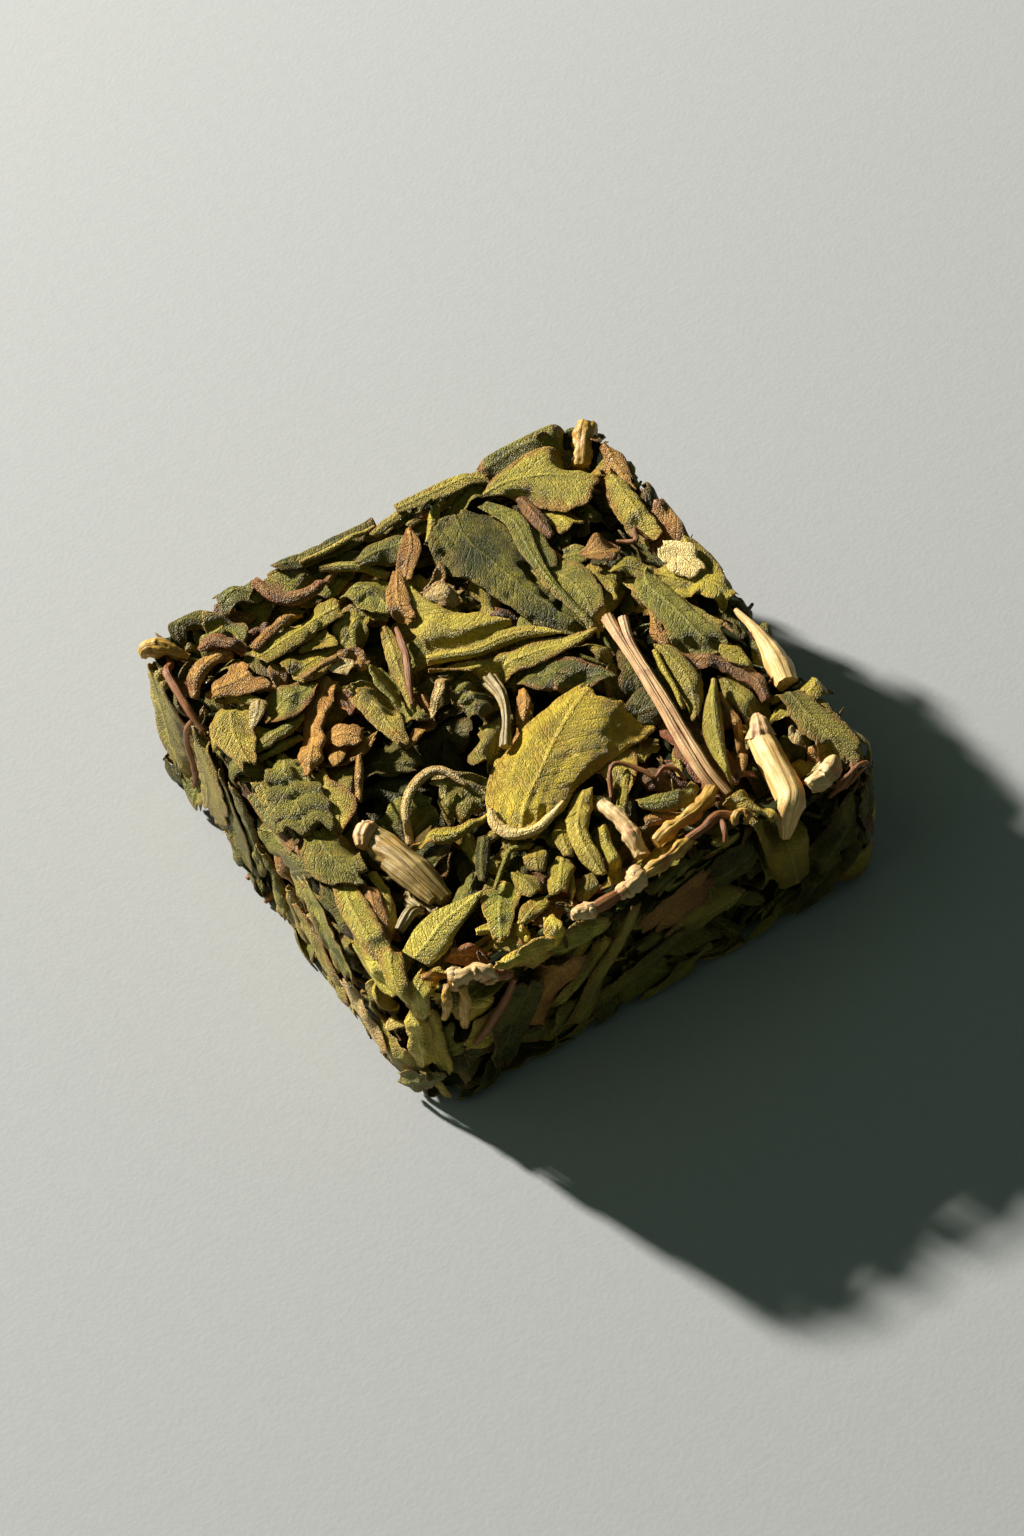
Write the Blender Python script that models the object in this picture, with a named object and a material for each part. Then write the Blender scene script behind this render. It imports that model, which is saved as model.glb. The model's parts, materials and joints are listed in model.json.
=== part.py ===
"""Pressed tea brick: a small square cake of whole tea leaves and stalks, pressed in a mould.

Blender units are metres and +Z is up. The origin is the centre of the face that the brick rests on.
The brick is one solid. Leaves and stalks are laid over a core, fused with it, and trimmed flush by the
walls of the mould, so its faces are flat where a leaf met the mould and sunk in the gaps between leaves.
"""

import math
import random
from dataclasses import dataclass

import bmesh
import bpy
from mathutils import Matrix, Vector

MM = 0.001

# The mould, which sets the outer size of the brick.
SIDE = 42.0 * MM
THICKNESS = 15.2 * MM
CORNER_RADIUS = 3.0 * MM
RIM_RADIUS = 1.3 * MM
WORN_CORNER = 4.0 * MM

# The heap of leaves before it is trimmed by the mould.
GAP_DEPTH = 1.6 * MM
BLADE_THICKNESS = 1.7 * MM
BLADE_SPACING = 4.9 * MM
LEAF_SEED = 11
FUSE_VOXEL = 0.5 * MM
FACETS = 7000

HALF = SIDE / 2
TOP = THICKNESS
MIDDLE = THICKNESS / 2


@dataclass(frozen=True)
class Face:
    """One flat side of the mould: its centre, its two directions and its size along them."""

    centre: Vector
    along: Vector
    across: Vector
    length: float
    width: float

    def frame(self, x, y, heading_deg, lift, tilt_deg=0.0):
        """Matrix of a piece that lies on this face, turned by its heading and tipped about its length."""
        out = self.along.cross(self.across)
        axes = Matrix((self.along, self.across, out)).transposed().to_4x4()
        spot = self.centre + self.along * x + self.across * y + out * lift
        turn = Matrix.Rotation(math.radians(heading_deg), 4, "Z")
        tip = Matrix.Rotation(math.radians(tilt_deg), 4, "X")
        return Matrix.Translation(spot) @ axes @ turn @ tip


X_AXIS, Y_AXIS, Z_AXIS = Vector((1, 0, 0)), Vector((0, 1, 0)), Vector((0, 0, 1))
FACES = {
    "top": Face(Vector((0, 0, TOP)), X_AXIS, Y_AXIS, SIDE, SIDE),
    "bottom": Face(Vector((0, 0, 0)), X_AXIS, -Y_AXIS, SIDE, SIDE),
    "front": Face(Vector((0, -HALF, MIDDLE)), X_AXIS, Z_AXIS, SIDE, THICKNESS),
    "back": Face(Vector((0, HALF, MIDDLE)), -X_AXIS, Z_AXIS, SIDE, THICKNESS),
    "left": Face(Vector((-HALF, 0, MIDDLE)), -Y_AXIS, Z_AXIS, SIDE, THICKNESS),
    "right": Face(Vector((HALF, 0, MIDDLE)), Y_AXIS, Z_AXIS, SIDE, THICKNESS),
}


@dataclass(frozen=True)
class Blade:
    """A large leaf that lies open on a face. Sizes in millimetres, angles in degrees."""

    face: str
    x: float
    y: float
    heading: float
    length: float
    width: float
    lift: float = 0.0
    tilt: float = 0.0


@dataclass(frozen=True)
class Stalk:
    """A straight bare stalk, half sunk in a face. Sizes in millimetres, angles in degrees."""

    face: str
    x: float
    y: float
    heading: float
    length: float
    radius: float
    lift: float = 0.0


LARGE_BLADES = (
    Blade("top", 7.6, 9.5, -66, 17.0, 10.5, tilt=6),
    Blade("top", 13.2, 15.6, -27, 9.5, 7.0, tilt=-8),
    Blade("top", 3.4, 5.6, -46, 16.0, 7.5, lift=0.3, tilt=10),
    Blade("top", 1.6, -8.2, 20, 17.5, 7.0, lift=0.2, tilt=-8),
    Blade("top", 6.8, -7.4, -53, 9.0, 6.5),
    Blade("top", 15.3, -0.9, -83, 10.0, 4.5, tilt=10),
    Blade("top", 18.0, -14.0, -78, 13.0, 4.6, tilt=-12),
    Blade("top", -7.8, 17.0, -45, 7.5, 4.4, tilt=8),
    Blade("top", -10.0, 12.6, 18, 8.5, 4.6, tilt=-12),
    Blade("top", -17.0, 13.6, 20, 7.5, 4.8, tilt=10),
    Blade("top", -18.4, 8.6, -88, 7.5, 5.0, tilt=12),
    Blade("top", -12.8, 6.1, -129, 9.5, 4.0, tilt=10),
    Blade("top", -17.2, -0.4, -69, 9.0, 6.0, tilt=8),
    Blade("top", -13.6, -15.2, 8, 9.0, 4.6, tilt=10),
    Blade("top", -18.4, -12.6, -100, 10.0, 4.4, tilt=12),
    Blade("left", -14.5, 0.0, -100, 11.0, 6.5),
    Blade("left", -8.5, 1.0, -120, 9.5, 5.5),
    Blade("front", -3.7, 0.8, -123, 12.0, 3.6),
    Blade("front", 11.9, 1.6, -88, 12.5, 4.4),
    Blade("front", 3.1, 1.0, -36, 9.0, 5.8),
    Blade("bottom", 0.0, 0.0, 24, 19.0, 11.0, lift=0.4),
)

STALKS = (
    Stalk("top", 9.2, -7.9, -95, 17.0, 0.75, lift=0.0),
    Stalk("top", 12.8, -17.2, -98, 8.0, 1.35, lift=-0.9),
    Stalk("top", 19.2, -6.7, -92, 8.4, 1.1, lift=-0.9),
    Stalk("top", -12.4, -9.8, -78, 9.0, 1.3, lift=-0.9),
    Stalk("top", 19.0, 17.6, -60, 4.0, 1.0, lift=-0.6),
)


def scattered_blades(rng):
    """Smaller leaves on an uneven grid over every face, so that no part of a face is bare."""
    blades = []
    for name, face in FACES.items():
        columns = round(face.length / BLADE_SPACING)
        rows = max(2, round(face.width / BLADE_SPACING))
        for column in range(columns):
            for row in range(rows):
                x = ((column + 0.5) / columns - 0.5) * face.length / MM + rng.uniform(-1.6, 1.6)
                y = ((row + 0.5) / rows - 0.5) * face.width / MM + rng.uniform(-1.2, 1.2)
                heading = rng.uniform(0, 360) if rows > 2 else rng.gauss(0, 24)
                blades.append(
                    Blade(
                        name,
                        x,
                        y,
                        heading,
                        length=rng.uniform(6.5, 10.5),
                        width=rng.uniform(3.0, 5.2),
                        lift=rng.uniform(-0.9, 0.45),
                        tilt=rng.uniform(-16, 16),
                    )
                )
    return blades


def add_blade(heap, blade):
    """Adds a leaf to the heap: pointed at both ends, arched, thickest along its midrib, and closed."""
    stations = (-0.5, -0.36, -0.18, 0.0, 0.18, 0.36, 0.5)
    ring_angles = [math.tau * i / 6 for i in range(6)]
    length, width = blade.length * MM, blade.width * MM
    place = FACES[blade.face].frame(
        blade.x * MM, blade.y * MM, blade.heading, blade.lift * MM - BLADE_THICKNESS / 2, blade.tilt
    )
    rings = []
    for share in stations:
        fullness = math.cos(math.pi * share) ** 0.6 if abs(share) < 0.5 else 0.0
        droop = -2.0 * BLADE_THICKNESS * share * share
        if fullness < 0.01:
            rings.append([heap.verts.new(place @ Vector((share * length, 0, droop)))])
            continue
        rings.append(
            [
                heap.verts.new(
                    place
                    @ Vector(
                        (
                            share * length,
                            math.cos(angle) * width / 2 * fullness,
                            droop + math.sin(angle) * BLADE_THICKNESS / 2 * (0.5 + 0.5 * fullness),
                        )
                    )
                )
                for angle in ring_angles
            ]
        )
    for first, second in zip(rings, rings[1:]):
        for i in range(6):
            corners = [first[i % len(first)], second[i % len(second)]]
            corners += [second[(i + 1) % len(second)], first[(i + 1) % len(first)]]
            heap.faces.new(dict.fromkeys(corners))


def add_stalk(heap, stalk):
    """Adds a round stalk to the heap."""
    place = FACES[stalk.face].frame(stalk.x * MM, stalk.y * MM, stalk.heading, stalk.lift * MM)
    lay_down = Matrix.Rotation(math.pi / 2, 4, "Y")
    bmesh.ops.create_cone(
        heap,
        cap_ends=True,
        segments=8,
        radius1=stalk.radius * MM,
        radius2=stalk.radius * MM * 0.85,
        depth=stalk.length * MM,
        matrix=place @ lay_down,
    )


def add_core(heap):
    """Adds the packed middle of the brick, which the gaps between the outer leaves reach down to."""
    inner = Vector((SIDE - 2 * GAP_DEPTH, SIDE - 2 * GAP_DEPTH, THICKNESS - 2 * GAP_DEPTH))
    size = Matrix.Diagonal(inner).to_4x4()
    bmesh.ops.create_cube(heap, size=1.0, matrix=Matrix.Translation((0, 0, MIDDLE)) @ size)


def mesh_object(name, bm):
    """Makes an object of a bmesh, with its faces pointing out."""
    bmesh.ops.recalc_face_normals(bm, faces=bm.faces)
    mesh = bpy.data.meshes.new(name)
    bm.to_mesh(mesh)
    bm.free()
    made = bpy.data.objects.new(name, mesh)
    bpy.context.scene.collection.objects.link(made)
    return made


def build_heap():
    """All the leaves and stalks and the core, as overlapping closed shapes in one mesh."""
    rng = random.Random(LEAF_SEED)
    heap = bmesh.new()
    add_core(heap)
    for blade in [*LARGE_BLADES, *scattered_blades(rng)]:
        add_blade(heap, blade)
    for stalk in STALKS:
        add_stalk(heap, stalk)
    return mesh_object("brick", heap)


def build_mould():
    """The inside of the mould, with round upright corners, one of them worn, and soft rims."""
    block = bmesh.new()
    size = Matrix.Diagonal((SIDE, SIDE, THICKNESS)).to_4x4()
    bmesh.ops.create_cube(block, size=1.0, matrix=Matrix.Translation((0, 0, MIDDLE)) @ size)
    upright = [e for e in block.edges if abs(e.verts[0].co.z - e.verts[1].co.z) > MIDDLE]
    worn = [e for e in upright if e.verts[0].co.x < 0 and e.verts[0].co.y < 0]
    sound = [e for e in upright if e not in worn]
    bmesh.ops.bevel(block, geom=worn, offset=WORN_CORNER, segments=4, profile=0.5, affect="EDGES")
    sound = [e for e in sound if e.is_valid]
    bmesh.ops.bevel(block, geom=sound, offset=CORNER_RADIUS, segments=3, profile=0.5, affect="EDGES")
    level = [e for e in block.edges if abs(e.verts[0].co.z - e.verts[1].co.z) < MM / 10]
    bmesh.ops.bevel(block, geom=level, offset=RIM_RADIUS, segments=2, profile=0.5, affect="EDGES")
    mould = mesh_object("mould", block)
    mould.hide_render = True
    mould.display_type = "WIRE"
    return mould


def settle_modifiers(piece):
    """Replaces a piece's mesh by what its modifiers make of it, less any loose bits and shut hollows."""
    graph = bpy.context.evaluated_depsgraph_get()
    made = bpy.data.meshes.new_from_object(piece.evaluated_get(graph))
    piece.modifiers.clear()
    bm = bmesh.new()
    bm.from_mesh(made)
    unseen = set(bm.faces)
    islands = []
    while unseen:
        island, edge_of_island = set(), [unseen.pop()]
        while edge_of_island:
            face = edge_of_island.pop()
            island.add(face)
            near = {f for e in face.edges for f in e.link_faces} & unseen
            unseen -= near
            edge_of_island.extend(near)
        islands.append(island)
    largest = max(islands, key=len)
    loose = [f for island in islands if island is not largest for f in island]
    bmesh.ops.delete(bm, geom=loose, context="FACES")
    bm.to_mesh(made)
    bm.free()
    piece.data = made


def fuse(heap):
    """Fuses the heap into one skin and thins its facets."""
    remesh = heap.modifiers.new("fuse", "REMESH")
    remesh.mode = "VOXEL"
    remesh.voxel_size = FUSE_VOXEL
    settle_modifiers(heap)
    heap.data.validate()
    thin = heap.modifiers.new("thin", "DECIMATE")
    heap.data.calc_loop_triangles()
    thin.ratio = FACETS / len(heap.data.loop_triangles)
    settle_modifiers(heap)


def press(heap, mould):
    """Trims the heap flush with the walls of the mould."""
    trim = heap.modifiers.new("press", "BOOLEAN")
    trim.operation = "INTERSECT"
    trim.solver = "EXACT"
    trim.object = mould
    settle_modifiers(heap)


def leaf_material():
    """Dry olive green leaf."""
    material = bpy.data.materials.new("pressed_leaf")
    material.use_nodes = True
    shader = material.node_tree.nodes["Principled BSDF"]
    shader.inputs["Base Color"].default_value = (0.135, 0.125, 0.035, 1.0)
    shader.inputs["Roughness"].default_value = 0.7
    shader.inputs["Metallic"].default_value = 0.0
    return material


def main():
    for old in list(bpy.data.objects):
        bpy.data.objects.remove(old)
    brick = build_heap()
    fuse(brick)
    press(brick, build_mould())
    brick.data.materials.clear()
    brick.data.materials.append(leaf_material())


main()
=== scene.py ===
"""Looks of a small square brick of pressed tea.

The brick is a heap of whole leaves, torn leaves, stalks and crumbs that a mould pressed flush. The leaves
are laid from the outermost inwards: each new one is pushed under those that already lie there, so margins
tuck under each other, gaps open between them, and a pressed core closes the gaps at the bottom; the core's
near-black colour is painted shade for the depth of the gaps.
Sizes are in millimetres until a mesh is made, and the frame gives the size of the mould.
"""

import json
import logging
import math
from dataclasses import dataclass, field, replace
from enum import Enum
from functools import cache
from itertools import product
from typing import NamedTuple

import bpy
import numpy as np
from bpy.types import ID, Collection, Material, Mesh, Node, NodeSocket, NodeTree, Object
from mathutils import Matrix, Vector

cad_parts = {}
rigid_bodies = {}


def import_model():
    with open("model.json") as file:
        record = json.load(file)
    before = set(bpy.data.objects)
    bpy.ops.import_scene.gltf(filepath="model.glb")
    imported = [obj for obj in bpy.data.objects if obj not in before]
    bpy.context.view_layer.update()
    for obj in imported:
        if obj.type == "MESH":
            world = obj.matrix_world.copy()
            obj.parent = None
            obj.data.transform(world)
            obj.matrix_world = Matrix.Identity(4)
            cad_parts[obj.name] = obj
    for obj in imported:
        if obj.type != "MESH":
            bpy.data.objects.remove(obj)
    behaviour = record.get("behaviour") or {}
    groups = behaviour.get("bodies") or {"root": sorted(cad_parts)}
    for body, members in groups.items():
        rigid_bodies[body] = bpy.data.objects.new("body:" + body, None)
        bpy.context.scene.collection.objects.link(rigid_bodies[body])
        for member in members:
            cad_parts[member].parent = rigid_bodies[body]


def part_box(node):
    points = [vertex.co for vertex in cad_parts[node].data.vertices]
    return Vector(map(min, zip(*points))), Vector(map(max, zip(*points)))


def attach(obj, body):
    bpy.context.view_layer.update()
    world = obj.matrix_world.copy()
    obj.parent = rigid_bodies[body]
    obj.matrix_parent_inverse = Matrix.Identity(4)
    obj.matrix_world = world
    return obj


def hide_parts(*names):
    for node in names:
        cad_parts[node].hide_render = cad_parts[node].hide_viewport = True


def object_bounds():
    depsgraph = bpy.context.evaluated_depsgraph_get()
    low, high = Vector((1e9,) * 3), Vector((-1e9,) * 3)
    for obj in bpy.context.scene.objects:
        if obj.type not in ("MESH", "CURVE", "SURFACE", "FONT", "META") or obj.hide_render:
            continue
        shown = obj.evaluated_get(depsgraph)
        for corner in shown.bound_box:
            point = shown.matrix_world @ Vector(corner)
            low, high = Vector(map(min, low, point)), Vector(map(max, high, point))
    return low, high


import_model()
CAD_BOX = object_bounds()

LOG = logging.getLogger("tea_brick")
MM = 0.001
INSET = 0.05
Array = np.ndarray
Triple = tuple[float, float, float]


def srgb(red: int, green: int, blue: int) -> Triple:
    """Linear colour of a screen colour given in parts of 255."""
    parts = [c / 255 for c in (red, green, blue)]
    return tuple(c / 12.92 if c <= 0.04045 else ((c + 0.055) / 1.055) ** 2.4 for c in parts)


def ease(x: Array, low: float, high: float) -> Array:
    """Smooth step from 0 at low to 1 at high."""
    t = np.clip((x - low) / (high - low), 0.0, 1.0)
    return t * t * (3.0 - 2.0 * t)


@dataclass
class Noise:
    """Smooth seeded gradient noise in three dimensions, about -1 to 1."""

    seed: int

    def __post_init__(self) -> None:
        """Draws the lattice of gradients."""
        rng = np.random.default_rng(self.seed)
        self.slopes = rng.normal(size=(256, 3))
        self.slopes /= np.linalg.norm(self.slopes, axis=1, keepdims=True)
        self.order = np.concatenate([rng.permutation(256)] * 3)

    def __call__(self, points: Array) -> Array:
        """Noise at each point.

        Args:
            points: places, whose last axis holds the three coordinates.

        Returns:
            The values.
        """
        cell = np.floor(points).astype(int)
        part = points - cell
        blend = part**3 * (part * (part * 6 - 15) + 10)
        cell &= 255
        total = np.zeros(points.shape[:-1])
        for corner in np.ndindex(2, 2, 2):
            step = np.array(corner)
            key = self.order[cell[..., 0] + step[0]]
            key = self.order[key + cell[..., 1] + step[1]]
            key = self.order[key + cell[..., 2] + step[2]]
            weight = np.prod(np.where(step, blend, 1 - blend), axis=-1)
            total += weight * np.sum(self.slopes[key] * (part - step), axis=-1)
        return total * 1.7

    def creased(self, points: Array) -> Array:
        """Noise with sharp crests, 0 in the hollows and 1 on the crests."""
        return (1.0 - np.minimum(np.abs(self(points)) * 1.8, 1.0)) ** 1.5


class Side(Enum):
    """The six sides of the brick, numbered as the arrays of the mould hold them."""

    TOP = 0
    BASE = 1
    FRONT = 2
    BACK = 3
    LEFT = 4
    RIGHT = 5


@dataclass
class Mould:
    """The rounded block shape, slightly uneven, that the leaves are pressed to."""

    half: float
    height: float
    corner_radius: float = 2.8
    worn_radius: float = 5.0
    rim_radius: float = 1.3
    far_rim_radius: float = 0.5
    stretch: float = 0.4
    hub_depth: float = 5.0
    hollow: float = 0.28
    steps: int = 7
    along: Array = field(init=False)
    across: Array = field(init=False)
    outward: Array = field(init=False)
    centre: Array = field(init=False)
    reach: Array = field(init=False)

    def __post_init__(self) -> None:
        """Works out the directions, centres and half sizes of the six sides."""
        x, y, z = np.eye(3)
        self.along = np.array([x, x, x, -x, -y, y])
        self.across = np.array([y, -y, z, z, z, z])
        self.outward = np.cross(self.along, self.across)
        size = np.array([self.half, self.half, self.height / 2])
        depth = np.abs(self.outward) @ size
        self.centre = self.outward * depth[:, None] + [0.0, 0.0, self.height / 2]
        self.reach = np.stack([np.abs(self.along) @ size, np.abs(self.across) @ size], axis=1)

    def distance(self, points: Array) -> Array:
        """Distance from the pressed surface.

        Args:
            points: places in millimetres.

        Returns:
            The distances, negative inside.
        """
        x, y = points[..., 0], points[..., 1]
        z = points[..., 2] - self.height / 2
        radius = np.where((x < 0) & (y < 0), self.worn_radius, self.corner_radius)
        far = ease(y, 8.0, 19.0)
        over_x = np.abs(x) - self.half + radius
        over_y = np.abs(y) - self.half - self.stretch * far + radius
        plan = np.hypot(np.maximum(over_x, 0), np.maximum(over_y, 0)) - radius
        plan += np.minimum(np.maximum(over_x, over_y), 0)
        rim = self.rim_radius + (self.far_rim_radius - self.rim_radius) * far
        a, b = plan + rim, np.abs(z) - self.height / 2 + rim
        block = np.hypot(np.maximum(a, 0), np.maximum(b, 0)) + np.minimum(np.maximum(a, b), 0)
        swell = np.sin(x * 0.31 + 0.8) * np.sin(y * 0.27 + 2.1) + np.sin(x * 0.11 - y * 0.16 + z * 0.4)
        swell += 0.6 * np.sin(x * 0.52 - 0.4 + z * 0.5) * np.sin(y * 0.47 + z * 0.6)
        above_base = ease(z, -self.height / 2, -self.height / 2 + 2.5)
        return block - rim + self.hollow * above_base * (0.5 + 0.19 * swell)

    def strike(self, start: Array, ray: Array) -> Array:
        """How far each ray runs to the pressed surface.

        Args:
            start: where the rays start, well inside.
            ray: their directions, of length 1.

        Returns:
            The distances.
        """
        length = np.full(ray.shape[:-1], self.hub_depth)
        for _ in range(self.steps):
            length = length - self.distance(start + ray * length[..., None])
        return length

    def place(self, side: Side, a: Array, b: Array, rise: Array) -> Array:
        """Places measured over a side, which go round its rims on to the next side.

        Args:
            side: the side.
            a: distances along it from its centre.
            b: distances across it.
            rise: heights over the pressed surface.

        Returns:
            The points.
        """
        n = side.value
        along, across, outward = self.along[n], self.across[n], self.outward[n]
        hub = self.hub_depth
        inner = self.reach[n] - hub
        held_a, held_b = np.clip(a, -inner[0], inner[0]), np.clip(b, -inner[1], inner[1])
        over_a, over_b = a - held_a, b - held_b
        over = np.hypot(over_a, over_b)
        safe = np.maximum(over, 1e-9)
        up = np.clip(2 * hub - over, 0, hub)
        out = np.minimum(over, hub) / safe
        room = 2 * (self.half if n > 1 else self.height / 2) - 2 * hub
        slide = np.clip(over - 2 * hub, 0, room)
        sideways = along * over_a[..., None] + across * over_b[..., None]
        ray = outward * up[..., None] + sideways * out[..., None]
        ray /= np.linalg.norm(ray, axis=-1, keepdims=True)
        start = self.centre[n] + along * held_a[..., None] + across * held_b[..., None]
        start = start - outward * (hub + slide)[..., None]
        return start + ray * (self.strike(start, ray) + rise)[..., None]


@dataclass
class Bed:
    """Remembers how high a new leaf may lie, at each small cell of the surface, under those laid before."""

    mould: Mould
    cell: float = 0.25

    def __post_init__(self) -> None:
        """Starts with free room up to the mould everywhere."""
        self.counts = np.ceil(2 * self.mould.reach / self.cell).astype(int)
        sizes = self.counts[:, 0] * self.counts[:, 1]
        self.starts = np.concatenate([[0], np.cumsum(sizes)[:-1]])
        self.ceiling = np.zeros(sizes.sum())

    def cells(self, points: Array) -> tuple[Array, Array]:
        """Which side and cell each point is under.

        Args:
            points: the points.

        Returns:
            Their sides, and their rows and columns in the last axis.
        """
        mould = self.mould
        beyond = np.einsum("...k,nk->...n", points, mould.outward)
        beyond -= np.sum(mould.centre * mould.outward, axis=1)
        side = np.argmax(beyond, axis=-1)
        offset = points - mould.centre[side]
        axes = (mould.along[side], mould.across[side])
        place = np.stack([np.sum(offset * axis, axis=-1) for axis in axes], axis=-1) + mould.reach[side]
        return side, np.clip((place / self.cell).astype(int), 0, self.counts[side] - 1)

    def index(self, side: Array, cell: Array) -> Array:
        """The number of each cell among those of all sides."""
        return self.starts[side] + cell[..., 0] * self.counts[side, 1] + cell[..., 1]

    def room(self, points: Array) -> Array:
        """The highest free level near each point.

        Args:
            points: the points.

        Returns:
            Distances from the mould, at most zero.
        """
        side, cell = self.cells(points)
        lowest = np.zeros(side.shape)
        for step in product((-1, 0, 1), repeat=2):
            near = np.clip(cell + step, 0, self.counts[side] - 1)
            lowest = np.minimum(lowest, self.ceiling[self.index(side, near)])
        return lowest

    def cover(self, points: Array, depth: Array | float) -> None:
        """Lowers the ceiling under a laid sheet.

        Args:
            points: the sheet's grid.
            depth: how far its lower face lies below it.
        """
        fine = refine(refine(points))
        deep = refine(refine(depth)) if isinstance(depth, Array) else depth
        index = self.index(*self.cells(fine))
        np.minimum.at(self.ceiling, index.ravel(), (self.mould.distance(fine) - deep).ravel())


def together(*parts: Array | float) -> Array:
    """Points made of their coordinates, each repeated as the others need."""
    return np.stack(np.broadcast_arrays(*parts), axis=-1)


def refine(grid: Array) -> Array:
    """A grid with one more row and column between each two.

    Args:
        grid: the grid.

    Returns:
        The finer grid.
    """
    rows = np.empty((2 * grid.shape[0] - 1, *grid.shape[1:]))
    rows[::2], rows[1::2] = grid, (grid[1:] + grid[:-1]) / 2
    both = np.empty((rows.shape[0], 2 * grid.shape[1] - 1, *grid.shape[2:]))
    both[:, ::2], both[:, 1::2] = rows, (rows[:, 1:] + rows[:, :-1]) / 2
    return both


def spread(drop: Array, rows: int, columns: int) -> Array:
    """Widens and then smooths a field of drops, so that it is nowhere less than it was.

    Args:
        drop: the field.
        rows: how many rows it reaches further.
        columns: how many columns it reaches further.

    Returns:
        The smooth field.
    """
    for smooth, (axis, reach) in product((False, True), ((0, rows), (1, columns))):
        for _ in range(reach):
            padded = np.pad(drop, [(1, 1) if k == axis else (0, 0) for k in (0, 1)], mode="edge")
            low = np.take(padded, range(drop.shape[axis]), axis)
            high = np.take(padded, range(2, drop.shape[axis] + 2), axis)
            drop = (low + drop + high) / 3 if smooth else np.maximum(drop, np.maximum(low, high))
    return drop


def smooth_path(stops: Array, count: int) -> Array:
    """A smooth, evenly stepped curve through a few stops.

    Args:
        stops: points, with any values after their three coordinates.
        count: how many points to return.

    Returns:
        The points with their values.
    """
    p = np.vstack([2 * stops[0] - stops[1], stops, 2 * stops[-1] - stops[-2]])
    t = np.linspace(0, 1, 12, endpoint=False)[:, None]
    pieces = [0.5 * (2 * b + (c - a) * t + (2 * a - 5 * b + 4 * c - d) * t**2
                     + (3 * b - a - 3 * c + d) * t**3)
              for a, b, c, d in zip(p[:-3], p[1:-2], p[2:-1], p[3:])]
    curve = np.vstack([*pieces, p[-2:-1]])
    run = np.concatenate([[0], np.cumsum(np.linalg.norm(np.diff(curve[:, :3], axis=0), axis=1))])
    even = np.linspace(0, run[-1], count)
    return np.stack([np.interp(even, run, column) for column in curve.T], axis=1)


@dataclass(frozen=True)
class LeafFinish:
    """Colours and surface of one kind of dried leaf."""

    name: str
    slot: str
    light: Triple
    dark: Triple
    vein: Triple
    rust: Triple
    pale: Triple
    gloss: float = 0.5


class Finish(Enum):
    """The finishes of the leaves and strips."""

    KHAKI = LeafFinish("khaki", "olive_leaf", srgb(206, 186, 66), srgb(150, 134, 36), srgb(230, 212, 107),
                       srgb(166, 98, 37), srgb(232, 212, 120))
    YELLOW = LeafFinish("yellow", "olive_leaf", srgb(210, 186, 51), srgb(152, 134, 27), srgb(240, 218, 99),
                        srgb(180, 110, 40), srgb(240, 220, 132))
    OLIVE = LeafFinish("olive", "olive_leaf", srgb(154, 144, 41), srgb(88, 90, 20), srgb(178, 166, 67),
                       srgb(144, 82, 32), srgb(194, 176, 84))
    GREY = LeafFinish("grey_green", "dark_leaf", srgb(176, 164, 62), srgb(104, 102, 30), srgb(212, 200, 114),
                      srgb(158, 106, 56), srgb(218, 204, 123), gloss=0.35)
    DARK = LeafFinish("dark_green", "dark_leaf", srgb(128, 120, 36), srgb(50, 56, 12), srgb(164, 154, 76),
                      srgb(118, 72, 32), srgb(172, 162, 84), gloss=0.3)
    BROWN = LeafFinish("rust_brown", "brown_leaf", srgb(214, 164, 70), srgb(164, 110, 41),
                       srgb(236, 192, 104), srgb(128, 64, 28), srgb(238, 196, 113))
    PURPLE = LeafFinish("plum_brown", "brown_leaf", srgb(154, 110, 51), srgb(84, 56, 27), srgb(182, 136, 77),
                        srgb(160, 72, 32), srgb(198, 146, 83))
    CREAM = LeafFinish("cream", "stalk", srgb(246, 222, 150), srgb(204, 166, 82), srgb(250, 234, 172),
                       srgb(176, 112, 50), srgb(250, 232, 170))


@dataclass(frozen=True)
class Leaf:
    """One leaf or strip: where it lies on a side, and how it is folded, curled and torn.

    Lengths are in millimetres and angles in degrees. The heading is the direction of the tip. A pair is for
    the right and left margins, or for the base and tip. A leaf with stops follows them from base to tip: each
    has its place along and across the side, its rise, and the half width, or those to the left and right.
    """

    side: Side
    finish: Finish
    x: float = 0.0
    y: float = 0.0
    heading: float = 0.0
    length: float = 6.0
    width: float = 3.0
    stops: Array | None = None
    lift: float = -0.3
    tilt: float = 0.0
    pitch: float = 0.0
    bend: float = 0.0
    fold: float = 0.0
    curl: tuple[float, float] = (0.0, 0.0)
    curl_from: float = 0.3
    twist: float = 0.0
    buckle: float = 14.0
    shift: float = 0.0
    blunt: float = 0.4
    spread: float = 1.2
    ruffle: float = 0.0
    ridges: float = 0.0
    ridge_height: float = 0.0
    pleat: float = 0.0
    crumple: float = 0.16
    cut: tuple[float, float] = (0.0, 0.0)
    ragged: float = 0.08
    teeth: float = 0.03
    tone: float = 1.0
    rust: float = 0.5
    squash: float = 0.85
    thickness: float = 0.18


@dataclass
class Sheet:
    """A laid leaf: its grid of points, wall thickness and the values that its finish reads."""

    points: Array
    wall: Array
    lengthwise: Array
    crosswise: Array
    run: Array
    offset: Array
    chance: float
    tint: tuple[float, float, float, float]


class Patch(NamedTuple):
    """A leaf being shaped: places along it from 0 to 1, across it from -1 to 1, and a chance of its own."""

    leaf: Leaf
    u: Array
    s: Array
    chance: float


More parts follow.
